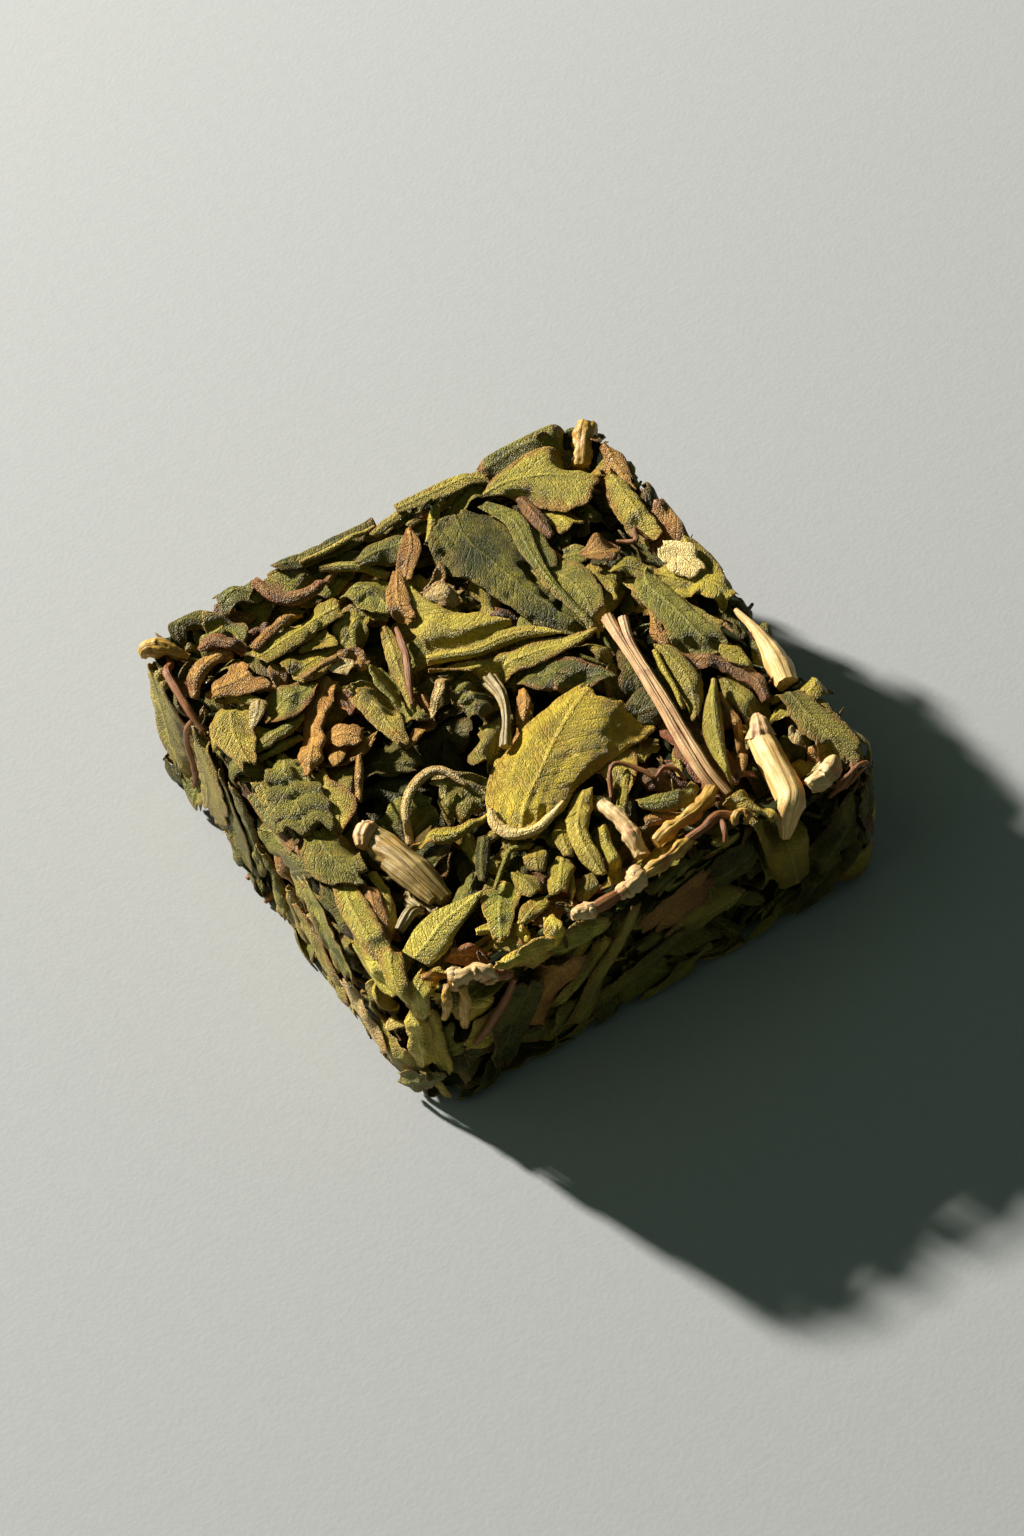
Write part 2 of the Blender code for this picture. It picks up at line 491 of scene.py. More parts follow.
@dataclass
class LeafPress:
    """Shapes leaves and presses each one under those laid before it."""

    mould: Mould
    bed: Bed
    seed: int
    vein_spacing: float = 1.7
    clearance: float = 0.06
    flush: float = 0.16
    rib_height: float = 0.06
    groove_depth: float = 0.045
    pleat_width: float = 0.95
    ruffle_length: float = 3.3
    press: float = 0.55
    bend: float = 0.5
    corner_light: float = 0.6

    def __post_init__(self) -> None:
        """Seeds the noise of the creases and the draws."""
        self.noise = Noise(self.seed)
        self.rng = np.random.default_rng(self.seed)

    def outline(self, patch: Patch, line: Array) -> Array:
        """Half widths at each station, with uneven and toothed margins.

        Args:
            patch: the leaf.
            line: its midline, with half widths if it has stops.

        Returns:
            The half widths.
        """
        leaf, u, s, chance = patch
        if leaf.stops is not None:
            half = np.where(s > 0, line[:, [3]], line[:, [-1]])
            half = half * leaf.spread + np.maximum(leaf.blunt * half.max(axis=0) - half, 0) * 0.8
        else:
            low, high = (max(cut, 0.3 * leaf.blunt) for cut in leaf.cut)
            t = low + u * (1 - low - high)
            blade = np.sin(np.pi * np.clip(t, 0.0, 1.0) ** 0.88) ** 0.72
            half = leaf.width / 2 * blade / blade.max() * (1 + leaf.shift * np.sign(s))
        where = together(u * leaf.length * 0.33, np.sign(s) * 5.0, chance * 90.0)
        wander = self.noise(where) + 0.35 * self.noise(where * np.array([3.1, 1.0, 1.0]) + 7.0)
        notch = self.noise.creased(where * np.array([1.7, 1.0, 1.0]) + 41.0) ** 3
        teeth = np.abs(np.sin(u * leaf.length * 4.2 + chance * 9.0 + np.sign(s))) ** 0.5
        half = half * (1 + leaf.ragged * (1.7 * wander - 1.3 * notch)) - leaf.teeth * teeth
        return np.maximum(half, 0.06)

    def slope(self, patch: Patch) -> Array:
        """Angle of the cross section, from fold, curled margins, buckles and twist.

        Args:
            patch: the leaf.

        Returns:
            The angles in radians.
        """
        leaf, u, s, chance = patch
        angle = math.radians(leaf.fold / 2) * np.tanh(s / 0.1)
        rolled = np.clip((np.abs(s) - leaf.curl_from) / (1 - leaf.curl_from), 0, 1) ** 1.3
        curl = np.where(s > 0, math.radians(leaf.curl[1]), -math.radians(leaf.curl[0]))
        vary = 1 + 0.3 * np.sin(u * 5.0 + leaf.x + leaf.length * 3.0)
        where = together(u * leaf.length * 0.16, s * leaf.width * 0.42, chance * 70.0)
        buckled = math.radians(leaf.buckle) * 2.4 * self.noise(where)
        lean = math.radians(leaf.tilt) + math.radians(leaf.twist) * (u - 0.5)
        return angle + curl * rolled * vary + buckled + lean

    def midline(self, patch: Patch) -> tuple[Array, Array]:
        """The line along the middle of a leaf.

        Args:
            patch: the leaf.

        Returns:
            Its points with their rises, and its headings in radians.
        """
        leaf, u, _, chance = patch
        if leaf.stops is not None:
            line = smooth_path(leaf.stops, len(u))
            step = np.gradient(line, axis=0)
            line[:, 2] *= self.press
            return line, np.arctan2(step[:, 1], step[:, 0])[:, None]
        wave = self.noise(together(u * 2.2, chance, 3.0))
        heading = math.radians(leaf.heading) + math.radians(leaf.bend) * (u - 0.5) + 0.25 * wave
        step = leaf.length / (len(u) - 1)
        x, y = np.cumsum(np.cos(heading)) * step, np.cumsum(np.sin(heading)) * step
        x, y = x - x.mean() + leaf.x, y - y.mean() + leaf.y
        rise = leaf.lift + math.tan(math.radians(leaf.pitch)) * (u[:, 0] - 0.5) * leaf.length
        return np.stack([x, y, rise], axis=1), heading

    def folds(self, where: Array, chance: float) -> Array:
        """Crisp crossing folds of a dried leaf, from about -1 to 1.

        Args:
            where: places on the leaf in millimetres.
            chance: the leaf's own number.

        Returns:
            The heights.
        """
        total = np.zeros(where.shape[:-1])
        for number, span in enumerate((1.7, 2.7, 4.1)):
            turn = chance * 17.0 + number * 1.9
            warp = 0.5 * self.noise(where * np.array([0.3, 0.4, 1.0]) + 11.0 * number)
            phase = (where[..., 0] * math.cos(turn) + where[..., 1] * math.sin(turn)) / span + warp
            share = 0.7 + self.noise(where * np.array([0.25, 0.35, 1.0]) + 5.0 - number)
            total += share * (np.abs((phase + chance * 5 * number) % 1.0 * 2 - 1) * 2 - 1)
        return total / 1.7

    def relief(self, patch: Patch, across: Array) -> Array:
        """Creases, ruffled margins, ridges and veins, as heights over the smooth form.

        Args:
            patch: the leaf.
            across: distances from the midrib.

        Returns:
            The heights.
        """
        leaf, u, s, chance = patch
        where = together(u * leaf.length, across, chance * 40.0)
        crumpled = self.noise(where * np.array([0.3, 0.42, 1.0])) + 1.1 * self.folds(where, chance)
        height = leaf.crumple * crumpled
        wander = self.noise(where * np.array([0.25, 0.3, 1.0]) + 31.0)
        drawn = across * 2 * np.pi / self.pleat_width + 2.2 * wander
        pleated = (1 - np.abs(np.sin(drawn / 2))) * (0.6 + 0.4 * np.sin(u * 5.0 + chance * 7.0))
        height += leaf.pleat * pleated
        waves = 2 * np.pi * u * leaf.length / self.ruffle_length + np.sign(s) * 1.3 + chance * 6.0
        height += leaf.ruffle * np.abs(s) ** 2 * np.sin(waves)
        ridge = np.sin(2 * np.pi * leaf.ridges * (u + 0.06 * self.noise(where * 0.5)))
        height += leaf.ridge_height * np.sign(ridge) * np.abs(ridge) ** 0.6
        broad = min(1.0, leaf.width / 4.0)
        rib = self.rib_height * np.exp(-((across / 0.18) ** 2)) * (1 - 0.7 * u)
        phase = (u * leaf.length - np.abs(across) * 0.85) / self.vein_spacing
        off = (phase - np.round(phase)) * self.vein_spacing
        groove = self.groove_depth * np.exp(-((off / 0.16) ** 2))
        return height + broad * (rib - groove * ease(np.abs(s), 0.02, 0.2))

    def settle(self, leaf: Leaf, a: Array, b: Array, rise: Array,
               wall: Array, reach: tuple[int, int]) -> Array:
        """Presses a leaf flush with the mould and down under what already lies over it.

        Args:
            leaf: the leaf.
            a: distances along the side.
            b: distances across the side.
            rise: wanted heights.
            wall: thicknesses.
            reach: how many rows and columns it bends over.

        Returns:
            The points of the pressed leaf.
        """
        rise = -np.logaddexp(0, -rise / self.flush) * self.flush
        for _ in range(2):
            points = self.mould.place(leaf.side, a, b, rise)
            over = self.mould.distance(points) + wall / 2 + self.clearance - self.bed.room(points)
            if over.max() <= 0:
                break
            rise = rise - spread(np.maximum(over, 0), *reach)
        return self.mould.place(leaf.side, a, b, rise)

    def lay(self, leaf: Leaf, step: float) -> Sheet:
        """Shapes a leaf, presses it into place and records it in the bed.

        Args:
            leaf: the leaf.
            step: the wanted size of its faces.

        Returns:
            The laid sheet.
        """
        chance = float(self.rng.uniform())
        if leaf.stops is not None:
            stops = leaf.stops
            length = float(np.sum(np.linalg.norm(np.diff(stops[:, :2], axis=0), axis=1)))
            leaf = replace(leaf, length=length, width=float(np.max(stops[:, 3] + stops[:, -1])))
        rows = int(np.clip(leaf.length / step, 9, 80))
        columns = 2 * int(np.clip(leaf.width / step / 2, 3, 24)) + 1
        u, s = np.linspace(0, 1, rows)[:, None], np.linspace(-1, 1, columns)[None, :]
        patch = Patch(leaf, u, s, chance)
        line, heading = self.midline(patch)
        half = self.outline(patch, line)
        theta = self.slope(patch)
        width = half * 2 / (columns - 1)
        chord = (width[:, 1:] + width[:, :-1]) / 2
        mean = (theta[:, 1:] + theta[:, :-1]) / 2
        parts = (np.cos(mean), np.sin(mean))
        runs = (np.pad(np.cumsum(part * chord, axis=1), ((0, 0), (1, 0))) for part in parts)
        flat, high = (run - run[:, [columns // 2]] for run in runs)
        across = s * half
        bumps = self.relief(patch, across)
        rise = line[:, [2]] + high * leaf.squash + bumps * np.cos(np.clip(theta, -1.2, 1.2))
        flat = flat - bumps * np.sin(np.clip(theta, -1.2, 1.2))
        a, b = line[:, [0]] - np.sin(heading) * flat, line[:, [1]] + np.cos(heading) * flat
        jag = together(s * leaf.width * 0.4, chance * 31.0, 2.0)
        tear = self.noise(jag) + 0.4 * self.noise(jag * 2.7)
        for end, cut in ((0, leaf.cut[0]), (1, leaf.cut[1])):
            near = np.clip(1 - np.abs(u - end) / 0.3, 0, 1) ** 1.5
            torn = min(max(cut, 0.5 * leaf.blunt) * 4.0, 1.0)
            shift = near * tear * torn * 0.25 * leaf.width * (1 if end else -1)
            a, b = a + np.cos(heading) * shift, b + np.sin(heading) * shift
        wall = leaf.thickness * (1 - 0.5 * np.abs(s) ** 3) * (0.75 + 0.25 * np.sin(np.pi * u) ** 0.5)
        sizes = (leaf.length / rows, leaf.width / columns)
        reach = tuple(max(1, round(self.bend / size)) for size in sizes)
        points = self.settle(leaf, a, b, rise, wall, reach)
        self.bed.cover(points, wall / 2)
        shade = leaf.tone * (1 + 0.12 * (self.rng.uniform() - 0.5))
        # Leaves high on the near corner are painted lighter: painted light that lifts the shade there.
        x, y, z = points.mean(axis=(0, 1))
        near_corner = float(ease(-x - y, 20.0, 32.0) * ease(z, 5.0, 13.0))
        shade *= 1 + self.corner_light * near_corner
        warm = 1 + 0.1 * (self.rng.uniform() - 0.5)
        tint = (shade * warm, shade, shade / warm, leaf.rust)
        return Sheet(points, wall, *np.broadcast_arrays(u, s, u * leaf.length, across), chance, tint)


class Shells:
    """Collects laid sheets and turns them into one mesh of closed shells."""

    def __init__(self) -> None:
        """Starts empty."""
        self.parts: list[dict[str, Array]] = []
        self.size = 0

    def add(self, sheet: Sheet) -> None:
        """Gives a sheet its two faces and a rounded rim.

        Args:
            sheet: the laid sheet.
        """
        p = sheet.points
        rows, columns = p.shape[:2]
        normal = np.cross(np.gradient(p, axis=0), np.gradient(p, axis=1))
        normal[0], normal[-1] = normal[1], normal[-2]
        normal /= np.linalg.norm(normal, axis=-1, keepdims=True) + 1e-9
        half = normal * (sheet.wall / 2)[..., None]
        number = np.arange(rows * columns).reshape(rows, columns)
        loop = np.concatenate([number[:, 0], number[-1, 1:], number[-2::-1, -1], number[0, -2:0:-1]])
        inner = np.concatenate([number[:, 1], number[-2, 1:], number[-2::-1, -2], number[1, -2:0:-1]])
        flat = p.reshape(-1, 3)
        away = flat[loop] - flat[inner]
        away /= np.linalg.norm(away, axis=-1, keepdims=True) + 1e-9
        rim = flat[loop] + away * (sheet.wall.reshape(-1)[loop] * 0.45)[:, None]
        top, base, edge = number, number + rows * columns, 2 * rows * columns + np.arange(len(loop))
        upper = quads_of(top)
        lower = upper[:, ::-1] + rows * columns
        after = np.roll(np.arange(len(loop)), -1)
        brim = np.stack([loop, edge, edge[after], loop[after]], axis=1)
        under = np.stack([edge, base.ravel()[loop], base.ravel()[loop][after], edge[after]], axis=1)
        vertices = np.vstack([flat + half.reshape(-1, 3), flat - half.reshape(-1, 3), rim])

        def thrice(values: Array) -> Array:
            """The values of the upper face, the lower face and the rim."""
            line = values.reshape(-1)
            return np.concatenate([line, line, line[loop]])

        count = len(vertices)
        below = np.concatenate([np.zeros(rows * columns), np.ones(rows * columns), np.full(len(loop), 0.5)])
        self.parts.append({
            "vertices": vertices,
            "faces": np.vstack([upper, lower, brim, under]) + self.size,
            "leaf": np.stack([thrice(sheet.lengthwise), thrice(sheet.crosswise), below], axis=1),
            "span": np.stack([thrice(sheet.run), thrice(sheet.offset), np.full(count, sheet.chance)], axis=1),
            "tint": np.tile(sheet.tint, (count, 1)),
        })
        self.size += count

    def mesh(self, name: str) -> Mesh:
        """One mesh of every shell added so far.

        Args:
            name: the mesh's name.

        Returns:
            The mesh, in metres, with its attributes.
        """
        joined = {key: np.concatenate([part[key] for part in self.parts]) for key in self.parts[0]}
        mesh = quad_mesh(name, joined["vertices"] * MM, joined["faces"])
        for key in ("leaf", "span"):
            layer = mesh.attributes.new(key, "FLOAT_VECTOR", "POINT")
            layer.data.foreach_set("vector", joined[key].astype(np.float32).ravel())
        layer = mesh.attributes.new("tint", "FLOAT_COLOR", "POINT")
        layer.data.foreach_set("color", joined["tint"].astype(np.float32).ravel())
        return mesh


def quads_of(number: Array) -> Array:
    """The corners of each cell of a grid of numbers."""
    corners = (number[:-1, :-1], number[1:, :-1], number[1:, 1:], number[:-1, 1:])
    return np.stack([corner.ravel() for corner in corners], axis=1)


def quad_mesh(name: str, vertices: Array, faces: Array) -> Mesh:
    """A smooth shaded mesh of four-sided faces.

    Args:
        name: its name.
        vertices: points in metres.
        faces: four vertex numbers for each face.

    Returns:
        The mesh.
    """
    mesh = bpy.data.meshes.new(name)
    mesh.vertices.add(len(vertices))
    mesh.vertices.foreach_set("co", vertices.astype(np.float32).ravel())
    mesh.loops.add(faces.size)
    mesh.loops.foreach_set("vertex_index", faces.astype(np.int32).ravel())
    mesh.polygons.add(len(faces))
    mesh.polygons.foreach_set("loop_start", np.arange(0, faces.size, 4, dtype=np.int32))
    mesh.polygons.foreach_set("use_smooth", np.ones(len(faces), bool))
    mesh.update(calc_edges=True)
    mesh.validate()
    return mesh


def add_object(name: str, mesh: Mesh, material: Material) -> Object:
    """Puts a mesh in the scene with its finish.

    Args:
        name: the object's name.
        mesh: its mesh.
        material: its finish.

    Returns:
        The object, at the origin.
    """
    thing = bpy.data.objects.new(name, mesh)
    mesh.materials.clear()
    mesh.materials.append(material)
    bpy.context.scene.collection.objects.link(thing)
    return thing


class Graph:
    """A node tree being built: adds nodes, sets their inputs and joins them."""

    def __init__(self, tree: NodeTree) -> None:
        """Keeps the tree and empties it."""
        self.tree = tree
        tree.nodes.clear()

    def add(self, kind: str, values: dict | None = None, **settings: object) -> Node:
        """Adds a node.

        Args:
            kind: the node's type.
            values: for each input a value, or a socket to join.
            settings: properties of the node.

        Returns:
            The node.
        """
        node = self.tree.nodes.new(kind)
        for key, value in settings.items():
            setattr(node, key, value)
        self.feed(node, values or {})
        return node

    def feed(self, node: Node, values: dict) -> None:
        """Sets or joins some inputs of a node.

        Args:
            node: the node.
            values: for each input a value, or a socket to join.
        """
        for key, value in values.items():
            if isinstance(value, NodeSocket):
                self.tree.links.new(value, node.inputs[key])
            else:
                node.inputs[key].default_value = value

    def group(self, tree: NodeTree, values: dict) -> bpy.types.bpy_prop_collection:
        """The outputs of a shared group placed in the graph."""
        return self.add("ShaderNodeGroup", values, node_tree=tree).outputs

    def dress(self, node: Node, material: NodeSocket) -> None:
        """Ends a tree of Geometry Nodes with real geometry and its material.

        Args:
            node: the last node before the end.
            material: the tree's material input.
        """
        real = self.add("GeometryNodeRealizeInstances", {"Geometry": node.outputs[0]})
        dressed = self.add("GeometryNodeSetMaterial", {"Geometry": real.outputs[0], "Material": material})
        self.add("NodeGroupOutput", {"Geometry": dressed.outputs[0]})

    def times(self, a: object, b: object) -> NodeSocket:
        """One number times another."""
        return self.math("MULTIPLY", a, b)

    def fused(self, a: object, b: object, c: object) -> NodeSocket:
        """One number times another, plus a third."""
        return self.math("MULTIPLY_ADD", a, b, c)

    def less(self, a: object, b: object) -> NodeSocket:
        """One number less another."""
        return self.math("SUBTRACT", a, b)

    def math(self, operation: str, *values: object) -> NodeSocket:
        """A number worked out from one, two or three others."""
        node = self.add("ShaderNodeMath", dict(enumerate(values)), operation=operation)
        return node.outputs[0]

    def vector(self, operation: str, *values: object) -> NodeSocket:
        """A vector worked out from others."""
        node = self.add("ShaderNodeVectorMath", dict(enumerate(values)), operation=operation)
        return node.outputs[0]

    def scaled(self, value: object, factor: float) -> NodeSocket:
        """A vector times a number."""
        node = self.add("ShaderNodeVectorMath", {0: value, "Scale": factor}, operation="SCALE")
        return node.outputs[0]

    def ramp(self, value: object, low: float, high: float) -> NodeSocket:
        """Smooth step of a number from 0 at low to 1 at high."""
        node = self.add("ShaderNodeMapRange", {0: value, 1: low, 2: high}, interpolation_type="SMOOTHSTEP")
        return node.outputs[0]

    def mix(self, factor: object, a: object, b: object, blend: str = "MIX") -> NodeSocket:
        """A colour between two others.

        Args:
            factor: how much of the second it takes.
            a: the first colour.
            b: the second colour.
            blend: how they are mixed.

        Returns:
            The colour.
        """
        a, b = (c if isinstance(c, NodeSocket) else (*c, 1.0) for c in (a, b))
        node = self.add("ShaderNodeMix", {0: factor, 6: a, 7: b}, data_type="RGBA", blend_type=blend)
        return node.outputs[2]

    def noise(self, place: object, scale: float, detail: float = 2.0, rough: float = 0.5) -> NodeSocket:
        """Noise about 0 to 1 at a place."""
        values = {"Vector": place, "Scale": scale, "Detail": detail, "Roughness": rough}
        return self.add("ShaderNodeTexNoise", values).outputs["Fac"]


def node_group(name: str, kind: str, inputs: dict[str, tuple], outputs: dict[str, str]) -> NodeTree:
    """An empty node group with named sockets.

    Args:
        name: its name.
        kind: the type of its tree.
        inputs: for each input its socket type and default, or None.
        outputs: for each output its socket type.

    Returns:
        The group's tree.
    """
    tree = bpy.data.node_groups.new(name, kind)
    for label, (socket_type, default) in inputs.items():
        socket = tree.interface.new_socket(label, in_out="INPUT", socket_type=socket_type)
        if default is not None:
            socket.default_value = default
    for label, socket_type in outputs.items():
        tree.interface.new_socket(label, in_out="OUTPUT", socket_type=socket_type)
    return tree


FLOAT, VECTOR = "NodeSocketFloat", "NodeSocketVector"
GROWN = {"Geometry": ("NodeSocketGeometry", None), "Material": ("NodeSocketMaterial", None)}


def vein_group() -> NodeTree:
    """Midrib and slanting side veins of a leaf, from distances along and across it in millimetres.

    Returns:
        The group.
    """
    tree = node_group("Leaf Veins", "ShaderNodeTree",
                      {"Along": (FLOAT, 0.0), "Across": (FLOAT, 0.0), "Wander": (FLOAT, 0.5),
                       "Spacing": (FLOAT, 1.7)},
                      {"Veins": FLOAT, "Height": FLOAT})
    g = Graph(tree)
    given = g.add("NodeGroupInput").outputs
    off = g.math("ABSOLUTE", given["Across"])
    midrib = g.less(1.0, g.ramp(off, 0.03, 0.2))
    slant = g.fused(off, -0.85, given["Along"])
    phase = g.math("DIVIDE", slant, given["Spacing"])
    phase = g.fused(g.less(given["Wander"], 0.5), 0.6, phase)
    near = g.math("PINGPONG", phase, 0.5)
    side = g.less(1.0, g.ramp(near, 0.0, 0.07))
    small = g.math("PINGPONG", g.times(phase, 3.0), 0.5)
    small = g.times(g.less(1.0, g.ramp(small, 0.0, 0.16)), 0.4)
    lines = g.math("MAXIMUM", g.times(side, 0.6), small)
    veins = g.math("MAXIMUM", midrib, g.times(lines, g.ramp(off, 0.05, 0.4)))
    height = g.less(g.times(midrib, 0.7), lines)
    g.add("NodeGroupOutput", {"Veins": veins, "Height": height})
    return tree


def skin_group() -> NodeTree:
    """Blotches, specks and the fine netted grain of dried leaf, over places in millimetres.

    Returns:
        The group.
    """
    tree = node_group("Dried Skin", "ShaderNodeTree", {"Place": (VECTOR, None)},
                      {"Blotch": FLOAT, "Speck": FLOAT, "Grain": FLOAT, "Crease": FLOAT, "Height": FLOAT})
    g = Graph(tree)
    place = g.add("NodeGroupInput").outputs["Place"]
    blotch = g.ramp(g.noise(place, 0.28, 3.0, 0.55), 0.28, 0.66)
    speck = g.ramp(g.noise(place, 2.6, 3.0, 0.6), 0.58, 0.72)
    net = g.add("ShaderNodeTexVoronoi", {"Vector": place, "Scale": 6.0}, feature="DISTANCE_TO_EDGE")
    cells = g.ramp(net.outputs["Distance"], 0.0, 0.3)
    fine = g.noise(place, 7.0, 2.0, 0.6)
    wrinkle = g.math("ABSOLUTE", g.less(g.noise(place, 1.3, 3.0, 0.6), 0.5))
    crease = g.ramp(wrinkle, 0.0, 0.03)
    rough = g.fused(fine, 0.3, g.times(wrinkle, -0.5))
    height = g.fused(cells, 0.3, g.fused(crease, 0.22, rough))
    g.add("NodeGroupOutput", {"Blotch": blotch, "Speck": speck, "Grain": fine, "Crease": crease,
                              "Height": height})
    return tree


def margin_group() -> NodeTree:
    """Browning that creeps in from a leaf's margins and ends.

    Returns:
        The group.
    """
    tree = node_group("Browned Margin", "ShaderNodeTree",
                      {"Across": (FLOAT, 0.0), "Along": (FLOAT, 0.0), "Wander": (FLOAT, 0.5),
                       "Width": (FLOAT, 0.42)},
                      {"Margin": FLOAT})
    g = Graph(tree)
    given = g.add("NodeGroupInput").outputs
    side = g.math("ABSOLUTE", given["Across"])
    end = g.math("ABSOLUTE", g.fused(given["Along"], 2.0, -1.0))
    out = g.math("MAXIMUM", side, g.math("POWER", end, 3.0))
    out = g.fused(g.less(given["Wander"], 0.5), 0.9, out)
    low = g.less(1.0, given["Width"])
    edge = g.math("DIVIDE", g.less(out, low), given["Width"])
    g.add("NodeGroupOutput", {"Margin": g.ramp(edge, 0.0, 1.0)})
    return tree


def fibre_group() -> NodeTree:
    """Long fibres along a stalk, from a place whose first part runs along it.

    Returns:
        The group.
    """
    tree = node_group("Stalk Fibres", "ShaderNodeTree", {"Place": (VECTOR, None)},
                      {"Fibre": FLOAT, "Height": FLOAT})
    g = Graph(tree)
    place = g.add("NodeGroupInput").outputs["Place"]
    drawn = g.vector("MULTIPLY", place, (0.35, 6.0, 6.0))
    fibre = g.noise(drawn, 1.0, 4.0, 0.6)
    height = g.fused(g.noise(drawn, 2.2, 3.0, 0.6), 0.5, fibre)
    g.add("NodeGroupOutput", {"Fibre": g.ramp(fibre, 0.35, 0.65), "Height": height})
    return tree


def new_material(name: str) -> tuple[Material, Graph]:
    """A material and its emptied graph.

    Args:
        name: the material's name.

    Returns:
        The two.
    """
    material = bpy.data.materials.new(name)
    material.use_nodes = True
    return material, Graph(material.node_tree)


def coat(g: Graph, colour: object, rough: object, raised: object, bump: tuple[float, float],
         gloss: float) -> None:
    """Ends a material's graph with a bumped surface.

    Args:
        g: the graph.
        colour: its colour.
        rough: its roughness.
        raised: the height of its relief.
        bump: the relief's strength, and its distance in metres.
        gloss: its specular level.
    """
    normal = g.add("ShaderNodeBump", {"Strength": bump[0], "Distance": bump[1], "Height": raised})
    shader = g.add("ShaderNodeBsdfPrincipled", {"Base Color": colour, "Roughness": rough,
                                                "Normal": normal.outputs[0], "Specular IOR Level": gloss})
    g.add("ShaderNodeOutputMaterial", {"Surface": shader.outputs[0]})


@dataclass(frozen=True)
class StalkFinish:
    """Colours and surface of one kind of stalk."""

    name: str
    light: Triple
    dark: Triple
    stain: Triple
    stained: float = 0.3
    depth: float = 0.045
    ribs: int = 9
    lumps: float = 0.00012


class Finishes:
    """Makes each finish once, from shared node groups."""

    def __init__(self) -> None:
        """Builds the shared groups."""
        self.veins = vein_group()
        self.skin = skin_group()
        self.margin = margin_group()
        self.fibre = fibre_group()

    @cache
    def leaf(self, finish: LeafFinish) -> Material:
        """The material of a kind of leaf.

        Args:
            finish: its colours and surface.

        Returns:
            The material.
        """
        material, g = new_material(finish.name)
        given = [g.add("ShaderNodeAttribute", attribute_name=key).outputs for key in ("leaf", "span", "tint")]
        leaf, span = (g.add("ShaderNodeSeparateXYZ", {0: values["Vector"]}).outputs for values in given[:2])
        place = g.scaled(g.add("ShaderNodeTexCoord").outputs["Object"], 1 / MM)
        shift = g.add("ShaderNodeCombineXYZ", {0: g.times(span["Z"], 57.0)})
        place = g.vector("ADD", place, shift.outputs[0])
        wander = g.noise(place, 0.9, 3.0, 0.6)
        veins = g.group(self.veins, {"Along": span["X"], "Across": span["Y"], "Wander": wander})
        skin = g.group(self.skin, {"Place": place})
        margin = g.group(self.margin, {"Across": leaf["Y"], "Along": leaf["X"], "Wander": wander})["Margin"]
        colour = g.mix(skin["Blotch"], finish.dark, finish.light)
        netted = g.times(g.ramp(skin["Grain"], 0.38, 0.66), 0.4)
        # Dark lines along the creases are painted shade; the netted grain added to them is the leaf's own
        # texture.
        crease_shade_and_net = g.fused(g.less(1.0, skin["Crease"]), 0.25, netted)
        colour = g.mix(crease_shade_and_net, colour, finish.dark)
        mottle = g.ramp(g.noise(place, 1.5, 3.0, 0.65), 0.47, 0.64)
        colour = g.mix(g.times(mottle, 0.45), colour, finish.dark)
        colour = g.mix(g.times(veins["Veins"], 0.3), colour, finish.vein)
        below = g.times(g.ramp(leaf["Z"], 0.5, 1.0), 0.5)
        colour = g.mix(below, colour, finish.pale)
        colour = g.mix(g.times(skin["Speck"], 0.3), colour, finish.rust)
        patches = g.ramp(g.noise(place, 0.5, 2.0, 0.5), 0.56, 0.74)
        rusted = g.times(g.math("MAXIMUM", margin, patches), given[2]["Alpha"])
        colour = g.mix(g.times(rusted, 0.75), colour, finish.rust)
        # The rim of each sheet is painted pale: a painted highlight along the leaf edges.
        brim = g.less(1.0, g.times(g.math("ABSOLUTE", g.less(leaf["Z"], 0.5)), 2.0))
        colour = g.mix(g.times(brim, 0.6), colour, finish.pale)
        # The tint's colour is each leaf's tone, with painted light near the near corner and painted shade on
        # deep torn leaves and crumbs.
        colour = g.mix(1.0, colour, given[2]["Color"], "MULTIPLY")
        rough = g.fused(skin["Grain"], 0.3, 0.32)
        raised = g.fused(veins["Height"], 0.6, skin["Height"])
        coat(g, colour, rough, raised, (1.0, 0.00025), finish.gloss)
        return material

    @cache
    def stalk(self, finish: StalkFinish) -> Material:
        """The material of a kind of stalk.

        Args:
            finish: its colours.

        Returns:
            The material.
        """
        material, g = new_material(finish.name)
        place = g.add("ShaderNodeAttribute", attribute_name="grain").outputs["Vector"]
        world = g.scaled(g.add("ShaderNodeTexCoord").outputs["Object"], 1 / MM)
        fibre = g.group(self.fibre, {"Place": place})
        skin = g.group(self.skin, {"Place": world})
        colour = g.mix(fibre["Fibre"], finish.dark, finish.light)
        patch = g.times(g.ramp(g.noise(world, 0.55, 3.0, 0.6), 0.5, 0.72), finish.stained)
        colour = g.mix(patch, colour, finish.stain)
        colour = g.mix(g.times(skin["Speck"], 0.35), colour, finish.stain)
        rough = g.fused(skin["Grain"], 0.3, 0.28)
        raised = g.math("ADD", fibre["Height"], g.times(skin["Height"], 0.35))
        coat(g, colour, rough, raised, (0.6, 0.0001), 0.4)
        return material

    def core(self) -> Material:
        """The material of the core at the bottom of the gaps, near-black as painted shade for their depth.

        Returns:
            The material.
        """
        material, g = new_material("pressed_core")
        place = g.scaled(g.add("ShaderNodeTexCoord").outputs["Object"], 1 / MM)
        skin = g.group(self.skin, {"Place": place})
        # Near-black greens: painted shade at the bottom of the gaps; the brown specks are the core's own
        # colour.
        colour = g.mix(skin["Blotch"], srgb(20, 26, 12), srgb(50, 54, 24))
        colour = g.mix(g.times(skin["Speck"], 0.4), colour, srgb(76, 50, 30))
        coat(g, colour, 0.85, skin["Height"], (0.8, 0.0002), 0.1)
        return material


